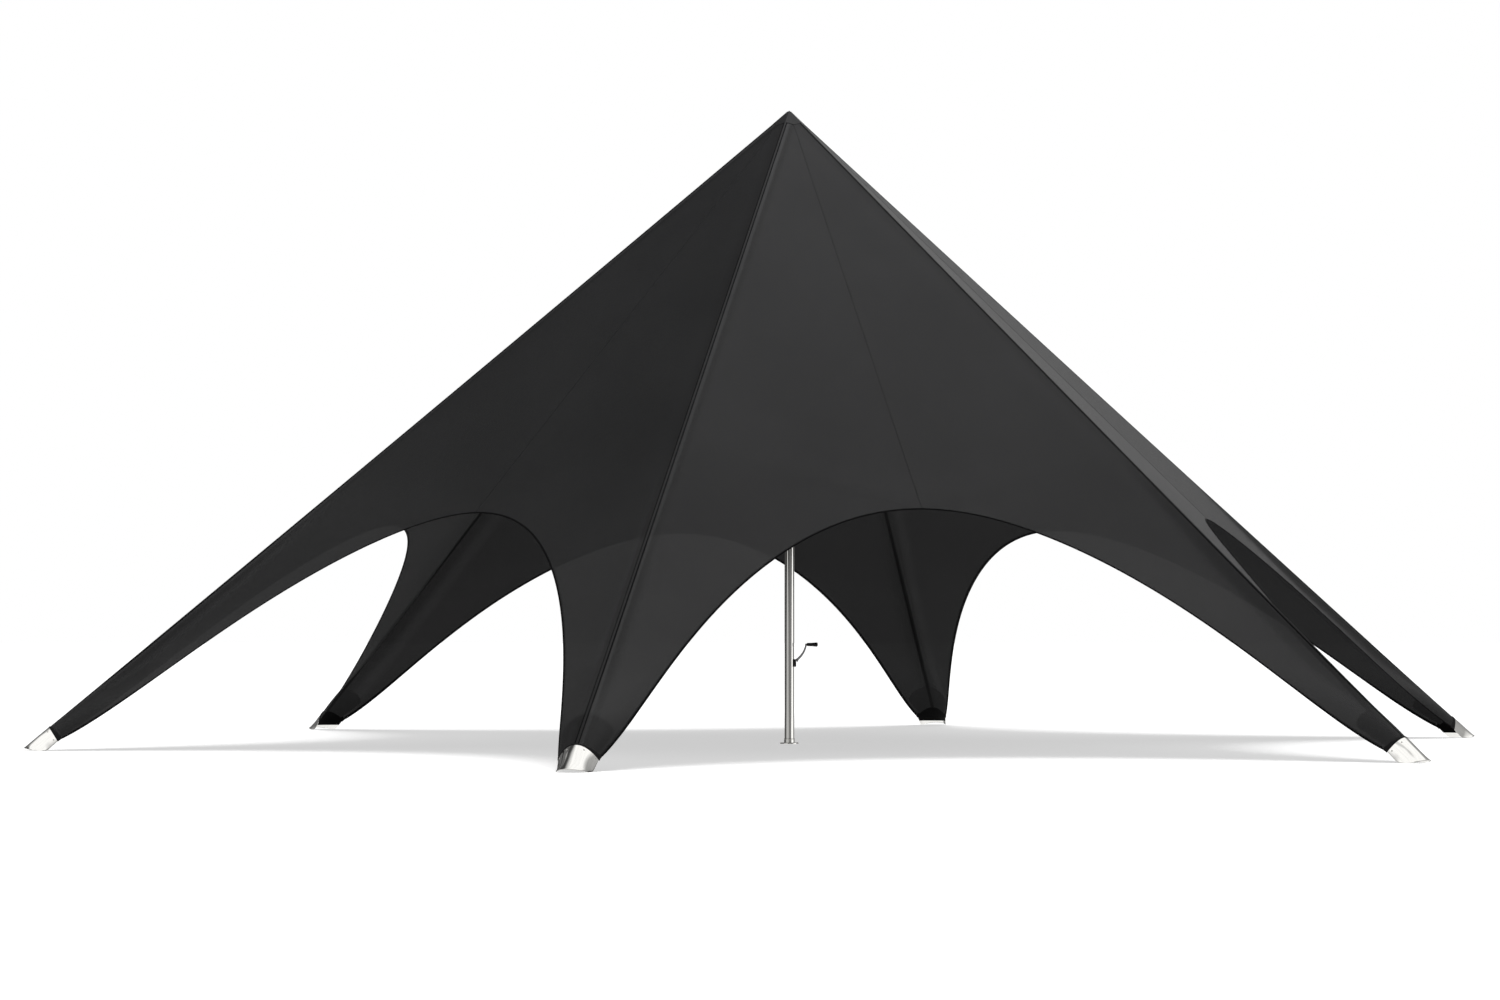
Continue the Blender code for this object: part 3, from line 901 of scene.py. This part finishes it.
def make_ridge_seams(shop):
    """Over each ridge, a black tape with a strip of the cloth stitched down on it."""
    rungs = leg_and_panel_rungs(SEAM_STARTS, SEAM_ENDS)
    tape = strip_over_ridge("tape", rungs, SEAM_TAPE_HALF, -0.0004, SEAM_TAPE_LIFT)
    cover = strip_over_ridge("cover", rungs, SEAM_COVER_HALF, SEAM_TAPE_LIFT, SEAM_COVER_LIFT)
    rows = []
    for aside in (-SEAM_STITCHES * SEAM_COVER_HALF, SEAM_STITCHES * SEAM_COVER_HALF):
        points, normals = cloth_frames(rungs, np.full((len(rungs), 1), aside))
        rows.append((points[:, 0] + normals[:, 0] * SEAM_COVER_LIFT, normals[:, 0]))
    return [
        shop.sew("ridge_seam_tapes", tape, "webbing", "black_webbing"),
        shop.sew("ridge_seam_covers", cover, "seam", "canopy_cloth"),
        shop.sew("ridge_stitches", shop.stitches(rows), "thread", "black_webbing"),
    ]


def make_panel_seams(shop):
    """The flat seam down the middle of each panel, with its two rows of stitches."""
    frames = seam_frames()
    strip = swept("panel_seams", frames, PANEL_SEAM)
    places, across, up = frames
    rows = [
        (places + across * aside + up * PANEL_STITCH_RISE, up)
        for aside in (-PANEL_STITCHES, PANEL_STITCHES)
    ]
    return [
        shop.sew("panel_seams", strip, "felled", "black_webbing"),
        shop.sew("panel_seam_stitches", shop.stitches(rows), "thread", "black_webbing"),
    ]


def make_hems(shop):
    """The webbing folded round the edge of each opening, stitched through."""
    frames = hem_frames()
    under = -CLOTH_THICK - HEM_SWELL
    section = (
        (HEM_OUTSIDE, 0.0002), (0.8 * HEM_OUTSIDE, 0.6 * HEM_SWELL), (0.3 * HEM_OUTSIDE, HEM_SWELL),
        (-0.0010, 0.7 * HEM_SWELL), (-0.0030, -0.5 * CLOTH_THICK), (-0.0010, 0.7 * under),
        (0.3 * HEM_INSIDE, under), (0.8 * HEM_INSIDE, 0.8 * under), (HEM_INSIDE, -CLOTH_THICK - 0.0002),
    )
    band = swept("hems", frames, section)
    places, inwards, up = frames
    rows = [(places + inwards * HEM_STITCHES * HEM_OUTSIDE + up * HEM_SWELL * HEM_STITCH_RISE, up)]
    return [
        shop.sew("opening_hems", band, "webbing", "black_webbing"),
        shop.sew("hem_stitches", shop.stitches(rows), "thread", "black_webbing"),
    ]


def make_ridge_webbings(shop):
    """The load webbing sewn under each ridge, from the peak to the foot."""
    rungs = leg_and_panel_rungs(SEAM_STARTS, CLOTH_END)
    top = -CLOTH_THICK - 0.0003
    strip = strip_over_ridge("webbing", rungs, WEBBING_HALF, top - WEBBING_THICK, top)
    nodes = on_legs("ridge_webbing")
    return shop.sew("ridge_webbings", strip, "load_webbing", "black_webbing", nodes)


def make_foot_patches(shop):
    """The coated patch inside the end of each leg, with a rounded top."""
    rungs = hem_rungs(np.linspace(PATCH_STARTS, PATCH_ENDS, 20))
    start = rungs[0, 0]
    rounded = np.sqrt(1 - np.clip(1 - (rungs[:, 0] - start + 0.004) / PATCH_ROUND, 0, 1) ** 2)
    half = PATCH_SHARE * rungs[:, 1] * (PATCH_TOP + (1 - PATCH_TOP) * rounded)
    spread = np.linspace(-1, 1, 21)
    points, normals = cloth_frames(rungs, half[:, None] * spread)
    top = -CLOTH_THICK - 0.0004
    upper, lower = points + normals * top, points + normals * (top - PATCH_THICK)
    mesh = plate("patch", upper, lower)
    return shop.sew("foot_patches", mesh, "patch", "black_reinforcement", on_legs("foot_patch"))


def make_foot_rims(shop):
    """The rim in which the cloth of a leg ends, over the edge of its cap, dark as painted shade where the
    cloth goes into the cap.
    """
    spread = np.linspace(-1, 1, 41)
    way = np.linspace(0, 1, len(RIM_HEIGHTS) * 2 - 1)[:, None]
    stations = RIM_START + (RIM_END - RIM_START) * way + CAP_SIDE_DROP * spread**2 * way
    heights = np.interp(way, np.linspace(0, 1, len(RIM_HEIGHTS)), RIM_HEIGHTS)
    heights = heights * (1 - 0.55 * spread**2)
    points, normals = cap_frames(stations, spread * 1.01)
    upper = points + normals * heights[..., None]
    lower = points - normals * 0.0008
    return shop.sew("foot_rims", plate("rim", upper, lower), "rim", "black_reinforcement")


def make_cap_linings(shop):
    """The black lining inside each cap, a sheet of painted shade in the cap's mouth, whose lower edge is
    level with the ground.
    """
    spread = np.linspace(-1, 1, 41)
    trial = np.linspace(LINING_START, CAP_STATIONS[-1][0], 80)[:, None]
    heights = cap_points(trial, spread + 0 * trial)[..., 2]
    ends = np.array([np.interp(-LINING_EDGE, -column, trial[:, 0]) for column in heights.T])
    stations = LINING_START + (ends - LINING_START) * np.linspace(0, 1, 14)[:, None]
    points, normals = cap_frames(stations, spread)
    points[..., 2] += CAP_PLATE
    upper = points - normals * (CAP_SHEET + 0.0003)
    lower = upper - normals * LINING_THICK
    mesh = plate("lining", upper, lower)
    return shop.sew("cap_linings_painted_shade", mesh, "cap_mouth_painted_shade", "black_reinforcement")


def make_peak_cap(shop):
    """The small reinforced cone over the peak, in one piece with six pleats at the ridges."""
    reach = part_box("peak_cap")[1].x
    top_rungs = upper_rungs(np.linspace(0.004, 1.03 * reach / hem_rungs([0])[0, 0], 14))
    points, normals = cloth_frames(top_rungs, leg_columns(top_rungs, 10))
    taper = np.linspace(0, 1, len(top_rungs))[:, None, None]
    lift = PEAK_CAP_LIFT + PEAK_CAP_CROWN * (1 - taper)
    outer = shop.on_every_leg(loft("cap", points + normals * lift), "seam")
    walls = with_modifier(outer, "SOLIDIFY", thickness=PEAK_CAP_THICK, offset=-1)
    piece = add_piece("peak_cap_cover", walls)
    return hang_on_mast(piece, ["peak_cap"])


# Feet

def through(known, at):
    """A smooth curve through known points, at other places."""
    places, values = known
    slopes = np.gradient(values, places)
    row = np.clip(np.searchsorted(places, at) - 1, 0, len(places) - 2)
    step = places[row + 1] - places[row]
    share = (at - places[row]) / step
    rest = 1 - share
    return (
        values[row] * rest**2 * (1 + 2 * share) + slopes[row] * step * share * rest**2
        + values[row + 1] * share**2 * (3 - 2 * share) - slopes[row + 1] * step * share**2 * rest
    )


def cap_section(stations):
    """Half width, depth and squareness of a leg's end, over the cloth and down its cap."""
    over_cloth = hem_rungs([2.86, 2.90, CAP_TOP, CLOTH_END])
    over_cloth = np.concatenate([over_cloth, np.full((4, 1), 2.0)], axis=1)
    known = np.concatenate([over_cloth, np.array(CAP_STATIONS)]).T
    return [through((known[0], known[k]), stations) for k in (1, 2, 3)]


def cap_points(stations, shares):
    """Points at these stations and shares of the half width, which stop at the ground."""
    reach, depth, power = cap_section(stations)
    crest = PEAK_HEIGHT - RIDGE_DROP * stations
    limit = (np.maximum(crest + CAP_PLATE - 0.0005, 0) / (-INTO_TENT[2] * depth)) ** (1 / power)
    shares = np.minimum(1, limit) * shares
    inwards = depth * np.abs(shares) ** power
    return np.stack([
        stations + INTO_TENT[0] * inwards,
        shares * reach,
        crest + INTO_TENT[2] * inwards,
    ], -1)


def cap_frames(stations, shares):
    """Points on the end of a leg and the outward normals there."""
    points = cap_points(stations, shares + 0 * stations)
    return points, unit(np.cross(np.gradient(points, axis=0), np.gradient(points, axis=1)))


def fit_on_leg(leg, name, mesh, material=None, nodes=()):
    """A metal piece at the end of a leg, made on the leg that points along +X."""
    mesh.transform(Matrix.Rotation(leg * LEG_STEP, 4, "Z"))
    return fix_to("tent", add_piece(name, mesh, material), nodes)


def make_foot_cap(shop, leg, name):
    """A polished plate folded over the end of a leg, with an open toe and rivets at its upper edge."""
    spread = np.linspace(-1, 1, 57)
    way = np.linspace(0, 1, 44)[:, None]
    start = CAP_EDGE + CAP_SIDE_DROP * spread**2
    end = CAP_STATIONS[-1][0] - TOE_ROUND * np.abs(spread) ** 3 - TOE_CORNER * spread**12
    stations = start + (end - start) * way
    outer, normals = cap_frames(stations, spread)
    outer[..., 2] += CAP_PLATE
    inner = outer - normals * CAP_SHEET
    inner[..., 2] = np.maximum(inner[..., 2], 0.0003)
    mesh = with_eased_edges(plate("cap", outer, inner), *CAP_EASE)
    steel = shop.materials["steel"]
    fit_on_leg(leg, f"{name}_polished_cap", mesh, steel, [f"{name}_foot_cap"])

    around = np.linspace(0, 2 * math.pi, 8, endpoint=False)
    section = [(TOE_BEAD * math.cos(turn), TOE_BEAD * math.sin(turn)) for turn in around]
    edge = np.abs(spread) <= BEAD_REACH
    facing = normals[-1, edge]
    middle = outer[-1, edge] - facing * CAP_SHEET / 2
    middle[:, 2] = np.maximum(middle[:, 2], TOE_BEAD)
    lip = swept("lip", (middle, np.tile(ALONG, (len(middle), 1)), facing), section)
    # The bead is a rolled edge of the toe, in the darker rivet steel as painted shade along the toe's
    # edge
    fit_on_leg(leg, f"{name}_toe_bead", lip, shop.materials["rivet"])

    rows = [int(np.abs(way - along).argmin()) for along, _ in CAP_RIVETS]
    columns = [int(np.abs(spread - share).argmin()) for _, share in CAP_RIVETS]
    spots = stitch_lines([(outer[rows, columns], normals[rows, columns])])
    heads = made_by(shop.rivets, spots, {
        "Radius": RIVET_RADIUS, "Rise": RIVET_RISE, "Material": shop.materials["rivet"],
    })
    fit_on_leg(leg, f"{name}_cap_rivets", heads)


# Mast

def turned_size(node):
    """Radius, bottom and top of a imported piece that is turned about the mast's axis."""
    low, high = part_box(node)
    return high.x, low.z, high.z


def tube_profile(outer, inner, bottom, top, edge=0.0008):
    """A tube with its outer edges eased."""
    return (
        (outer - edge, bottom), (outer, bottom + edge), (outer, top - edge), (outer - edge, top),
        (inner, top), (inner, bottom),
    )


def solid_profile(radius, bottom, top, edge):
    """A turned disc with its upper edge rounded."""
    arc = [
        (radius - edge + edge * math.cos(turn), top - edge + edge * math.sin(turn))
        for turn in np.linspace(0, math.pi / 2, 5)
    ]
    return [(0, bottom), (radius, bottom)] + arc + [(0, top)]


def fit_on_mast(shop, name, profile, material, node, body="tent", sides=96):
    """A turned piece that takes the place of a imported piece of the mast."""
    piece = add_piece(name, turned_mesh(profile, sides), shop.materials[material])
    return fix_to(body, piece, [node])


def make_mast(shop):
    """Base plate, collars, both tubes and the head that carries the peak."""
    radius, bottom, top = turned_size("mast_base_plate")
    disc = solid_profile(radius, bottom, top, 0.002)
    fit_on_mast(shop, "base_plate", disc, "tube", "mast_base_plate")

    tube_radius, low, high = turned_size("lower_mast_tube")
    _, bottom, top = turned_size("mast_base_collar")
    radius = tube_radius + COLLAR_STEP
    ring = [
        (tube_radius + SLIDING_FIT, bottom), (radius, bottom), (radius, top - 0.012),
        (radius - 0.0025, top - 0.010), (radius - 0.0025, top - 0.008), (radius, top - 0.006),
        (radius, top - 0.002), (radius - 0.002, top), (tube_radius + SLIDING_FIT, top),
    ]
    fit_on_mast(shop, "base_collar", ring, "tube", "mast_base_collar")
    tube = tube_profile(tube_radius, tube_radius - TUBE_WALL, low, high)
    fit_on_mast(
        shop, "lower_tube", tube, "tube", "lower_mast_tube", sides=TUBE_SIDES
    )

    inner_radius, low, high = turned_size("upper_mast_tube")
    tube = tube_profile(inner_radius, inner_radius - TUBE_WALL, low, high)
    fit_on_mast(
        shop, "upper_tube", tube, "tube", "upper_mast_tube",
        body="mast_top", sides=TUBE_SIDES,
    )

    radius, bottom, top = turned_size("mast_guide_collar")
    tube_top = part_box("lower_mast_tube")[1].z
    guide = [
        (tube_radius + SLIDING_FIT, bottom), (radius - 0.001, bottom), (radius, bottom + 0.001),
        (radius, tube_top + 0.012), (radius - 0.003, top - 0.004), (radius - 0.006, top),
        (inner_radius + 0.0004, top), (inner_radius + 0.0004, tube_top + 0.0003),
        (tube_radius + SLIDING_FIT, tube_top + 0.0003),
    ]
    fit_on_mast(shop, "guide_bush", guide, "plastic", "mast_guide_collar")
    make_mast_head(shop)


def make_mast_head(shop):
    """The cone on which the cloth's peak sits."""
    radius, bottom, top = turned_size("mast_head")
    shoulder = PEAK_HEIGHT - HEAD_UNDER_PEAK - HEAD_SLOPE * radius
    profile = [
        (0, bottom), (radius - 0.001, bottom), (radius, bottom + 0.001), (radius, shoulder),
        (0.016, top - 0.009), (0.012, top - 0.0055), (0.006, top - 0.0042), (0, top - 0.004),
    ]
    fit_on_mast(shop, "head_cone", profile, "plastic", "mast_head", body="mast_top")


# Crank

def crank_frame():
    return Matrix.Translation((0, 0, CRANK_HEIGHT)) @ Matrix.Rotation(CRANK_TURN, 4, "Z")


def along_crank(profile, sides=48, rise=0.0):
    """A turned mesh on the crank's axis, +X, or this far above it."""
    mesh = turned_mesh(profile, sides)
    mesh.transform(Matrix.Translation((0, 0, rise)) @ Matrix.Rotation(math.radians(90), 4, "Y"))
    return mesh


def fit_on_crank(body, name, mesh, material, nodes=()):
    """A piece that was made in the crank's own frame."""
    piece = add_piece(name, mesh, material)
    mesh.transform(crank_frame())
    return fix_to(body, piece, nodes)


def arm_outline():
    """Both sides of the crank arm, in the plane of the crank's axis and its radius."""
    start, pull_a, pull_b, end = (Vector(point) for point in ARM_PATH)
    left, right = [], []
    for share in np.linspace(0, 1, 29):
        rest = 1 - share
        point = (
            start * rest**3 + pull_a * 3 * rest**2 * share
            + pull_b * 3 * rest * share**2 + end * share**3
        )
        way = (
            (pull_a - start) * rest**2 + (pull_b - pull_a) * 2 * rest * share
            + (end - pull_b) * share**2
        ).normalized()
        width = ARM_START_WIDTH * rest + ARM_END_WIDTH * share
        offset = Vector((-way.y, way.x)) * width / 2
        left.append(point + offset)
        right.append(point - offset)
    return left + right[::-1]


def arm_plate():
    bm = bmesh.new()
    face = bm.faces.new([bm.verts.new((x, -ARM_THICK / 2, z)) for x, z in arm_outline()])
    side = bmesh.ops.extrude_face_region(bm, geom=[face])
    moved = [item for item in side["geom"] if isinstance(item, bmesh.types.BMVert)]
    bmesh.ops.translate(bm, verts=moved, vec=(0, ARM_THICK, 0))
    bmesh.ops.recalc_face_normals(bm, faces=bm.faces)
    return with_eased_edges(plain_mesh(bm, "arm_plate"), *ARM_EASE)


def make_crank(shop):
    """The winch's bracket on the mast, the bent arm with its shaft and pin, and the turning grip."""
    low, high = housing_corners()
    bracket, paint = bracket_mesh(low, high), shop.materials["paint"]
    fit_on_crank("tent", "winch_bracket", bracket, paint, ["winch_housing"])
    steel = shop.materials["arm"]
    fit_on_crank("tent", "bracket_screws", bracket_screws(low, high), steel)

    start, end = SHAFT_SPAN
    shaft = along_crank(solid_profile(SHAFT_RADIUS, start, end, 0.0012))
    nut = along_crank([
        (0, end), (NUT_RADIUS, end), (NUT_RADIUS, end + NUT_HEIGHT - 0.001),
        (NUT_RADIUS - 0.001, end + NUT_HEIGHT), (0, end + NUT_HEIGHT),
    ], 6)
    start, end = PIN_SPAN
    pin = along_crank(solid_profile(PIN_RADIUS, start, end, 0.001), rise=GRIP_OFFSET)
    washer = along_crank(solid_profile(WASHER_RADIUS, *WASHER_SPAN, 0.0006), rise=GRIP_OFFSET)
    arm = joined([arm_plate(), shaft, nut, pin, washer])
    fit_on_crank("crank", "bent_arm", arm, steel, ["crank_arm"])

    grip, plastic = along_crank(grip_profile(), rise=GRIP_OFFSET), shop.materials["plastic"]
    fit_on_crank("grip", "turning_grip", grip, plastic, ["crank_grip"])


def housing_corners():
    """The bracket's corners in the crank's own frame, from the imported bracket."""
    back = crank_frame().inverted()
    points = [back @ vert.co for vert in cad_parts["winch_housing"].data.vertices]
    low = Vector([min(point[k] for point in points) for k in range(3)])
    high = Vector([max(point[k] for point in points) for k in range(3)])
    return low, high


def bracket_mesh(low, high):
    """A plate with rounded edges and a round hole for the shaft."""
    outline = bpy.data.curves.new("bracket_outline", "CURVE")
    outline.dimensions = "2D"
    outline.fill_mode = "BOTH"
    outline.extrude = (high.x - low.x) / 2 - BRACKET_EDGE
    outline.bevel_depth = BRACKET_EDGE
    outline.bevel_resolution = 3
    corners = []
    sides = ((high.y, high.z), (low.y, high.z), (low.y, low.z), (high.y, low.z))
    for turn, (y, z) in enumerate(sides):
        down = -BRACKET_CORNER if z == high.z else BRACKET_CORNER
        centre = Vector((y - math.copysign(BRACKET_CORNER, y), z + down))
        for step in np.linspace(0, math.pi / 2, 6):
            angle = turn * math.pi / 2 + step
            arm = Vector((math.cos(angle), math.sin(angle))) * (BRACKET_CORNER - BRACKET_EDGE)
            corners.append(centre + arm)
    add_outline(outline, corners)
    hole = [
        Vector((math.cos(angle), math.sin(angle))) * (SHAFT_BORE + BRACKET_EDGE)
        for angle in np.linspace(0, 2 * math.pi, 40, endpoint=False)
    ]
    add_outline(outline, hole)
    mesh = evaluated_copy(put_in_scene("bracket_outline", outline))
    point_outwards(mesh, merge=1e-6)
    upright = Matrix(((0, 0, 1, (low.x + high.x) / 2), (1, 0, 0, 0), (0, 1, 0, 0), (0, 0, 0, 1)))
    mesh.transform(upright)
    return mesh


def add_outline(curve, points):
    spline = curve.splines.new("POLY")
    spline.points.add(len(points) - 1)
    for point, place in zip(spline.points, points):
        point.co = (place.x, place.y, 0, 1)
    spline.use_cyclic_u = True


def bracket_screws(low, high):
    """Two cap screws that hold the bracket to the mast, below the shaft."""
    profile = [
        (0, high.x - 0.001), (0.0042, high.x - 0.001), (0.0042, high.x + 0.0022),
        (0.0036, high.x + 0.0030), (0.0020, high.x + 0.0030), (0.0018, high.x + 0.0012),
        (0, high.x + 0.0012),
    ]
    return joined([along_crank(profile, 24, low.z + rise) for rise in SCREW_HEIGHTS])


def grip_profile():
    """A flared grip with shallow rings, hollow for its pin."""
    start, end = GRIP_SPAN
    slim, middle, wide = GRIP_RADII
    outside = [(slim - 0.002, start), (slim, start + 0.002)]
    lengths = np.linspace(start + 0.004, end - 0.014, 46)
    radii = np.interp(lengths, (start, start + 0.045, end - 0.012), (slim, middle, wide))
    rings = RING_DEPTH * np.cos((lengths - start) * 2 * math.pi / RING_PITCH)
    outside += [
        (radius + ring - RING_DEPTH, length) for radius, ring, length in zip(radii, rings, lengths)
    ]
    outside += [(wide, end - 0.012), (wide - 0.0006, end - 0.006), (wide - 0.002, end - 0.003)]
    closed_end = [(wide - 0.007, end), (0, end)]
    return [(PIN_BORE, start)] + outside + closed_end + [(0, end - 0.006), (PIN_BORE, end - 0.006)]


# Studio

def add_camera():
    lens = bpy.data.cameras.new("camera")
    lens.lens = CAMERA_LENS
    lens.sensor_width = CAMERA_SENSOR
    lens.clip_end = 500
    camera = put_in_scene("camera", lens)
    camera.location = CAMERA_PLACE
    camera.rotation_euler = [math.radians(angle) for angle in CAMERA_TURN]
    bpy.context.scene.camera = camera


def add_floor():
    """A wide pale floor whose glow grows with the distance, so that only the shade darkens it."""
    bm = bmesh.new()
    bmesh.ops.create_circle(bm, cap_ends=True, segments=96, radius=FLOOR_RADIUS)
    material, tree, shader = new_material(
        "pale_floor", (0.80, 0.80, 0.80), 0.9, Specular_IOR_Level=0.0, Emission_Color=(1, 1, 1, 1),
    )
    away = vector_node(tree, "LENGTH", object_place(tree)).outputs["Value"]
    glow = vary(tree, away, FLOOR_GLOW, FLOOR_GLOW_FAR, GLOW_STARTS, GLOW_FULL)
    connect(tree, shader, {"Emission Strength": glow})
    floor = add_piece("floor", plain_mesh(bm, "floor"), material)
    floor.location.z = -FLOOR_UNDER
    floor.visible_glossy = False


def add_lamp():
    """A wide round lamp high over the tent, which nothing mirrors: the dome is there for that."""
    light = bpy.data.lights.new("overhead", "AREA")
    light.shape = "DISK"
    light.size = LAMP_WIDTH
    light.energy = LAMP_POWER
    lamp = put_in_scene("overhead", light)
    lamp.location = LAMP_PLACE
    lamp.visible_glossy = False


def by_compass(tree, share, stops):
    """A value for each compass angle, from stops in degrees. The ramp itself stays within 1."""
    top = max(1.0, *(value for _, value in stops))
    ramp = grey_ramp(tree, share, [((angle + 180) / 360, value / top) for angle, value in stops])
    return math_node(tree, "MULTIPLY", ramp, top)


def add_studio_walls():
    """White behind the tent, and for what mirrors: grey walls below a pale dome with darker patches."""
    world = bpy.data.worlds.new("studio")
    world.use_nodes = True
    tree = world.node_tree
    tree.nodes.clear()
    way = add_node(tree, "ShaderNodeTexCoord").outputs["Generated"]
    east, north, up = parts(tree, way)
    angle = math_node(tree, "ARCTAN2", north, east)
    share = vary(tree, angle, 0.0, 1.0, -math.pi, math.pi)
    low, high, rise = (by_compass(tree, share, stops) for stops in (LOW_LEVELS, WALL_LEVELS, WALL_RISE))
    wall = vary(tree, vary(tree, up, 0.0, 1.0, WALL_STARTS, WALL_FULL), low, high, 0.0, 1.0)
    height = math_node(tree, "SUBTRACT", up, rise)
    dome = vary(tree, height, 0.0, 1.0, DOME_STARTS, DOME_FULL)
    level = vary(tree, dome, wall, DOME_LEVEL, 0.0, 1.0)
    for place, full, starts, dark in FLAGS:
        near = vector_node(tree, "DOT_PRODUCT", way, place).outputs["Value"]
        level = vary(tree, vary(tree, near, 0.0, 1.0, starts, full), level, dark, 0.0, 1.0)
    below = vary(tree, up, 1.0, 0.0, FLOOR_FULL, FLOOR_STARTS)
    with_floor = vary(tree, below, level, 1.0, 0.0, 1.0)
    seen = add_node(tree, "ShaderNodeLightPath").outputs
    diffuse = vary(tree, seen["Is Diffuse Ray"], 1.0, DIFFUSE_SHARE, 0.0, 1.0)
    dimmed = math_node(tree, "MULTIPLY", with_floor, diffuse)
    strength = math_node(tree, "MAXIMUM", dimmed, seen["Is Camera Ray"])
    light = add_node(tree, "ShaderNodeBackground", {"Color": (1, 1, 1, 1), "Strength": strength})
    add_node(tree, "ShaderNodeOutputWorld", {"Surface": light})
    bpy.context.scene.world = world


def make_tent(shop):
    canopy, area = make_canopy(shop)
    sewn_on = make_ridge_seams(shop) + make_panel_seams(shop) + make_hems(shop)
    sewn_on += [
        make_ridge_webbings(shop), make_foot_patches(shop), make_foot_rims(shop),
        make_cap_linings(shop), make_peak_cap(shop),
    ]
    for leg, name in enumerate(LEGS):
        make_foot_cap(shop, leg, name)
    make_mast(shop)
    make_crank(shop)


add_camera()
bpy.context.scene.view_settings.view_transform = "Standard"
make_tent(Workshop())
add_floor()
add_lamp()
add_studio_walls()
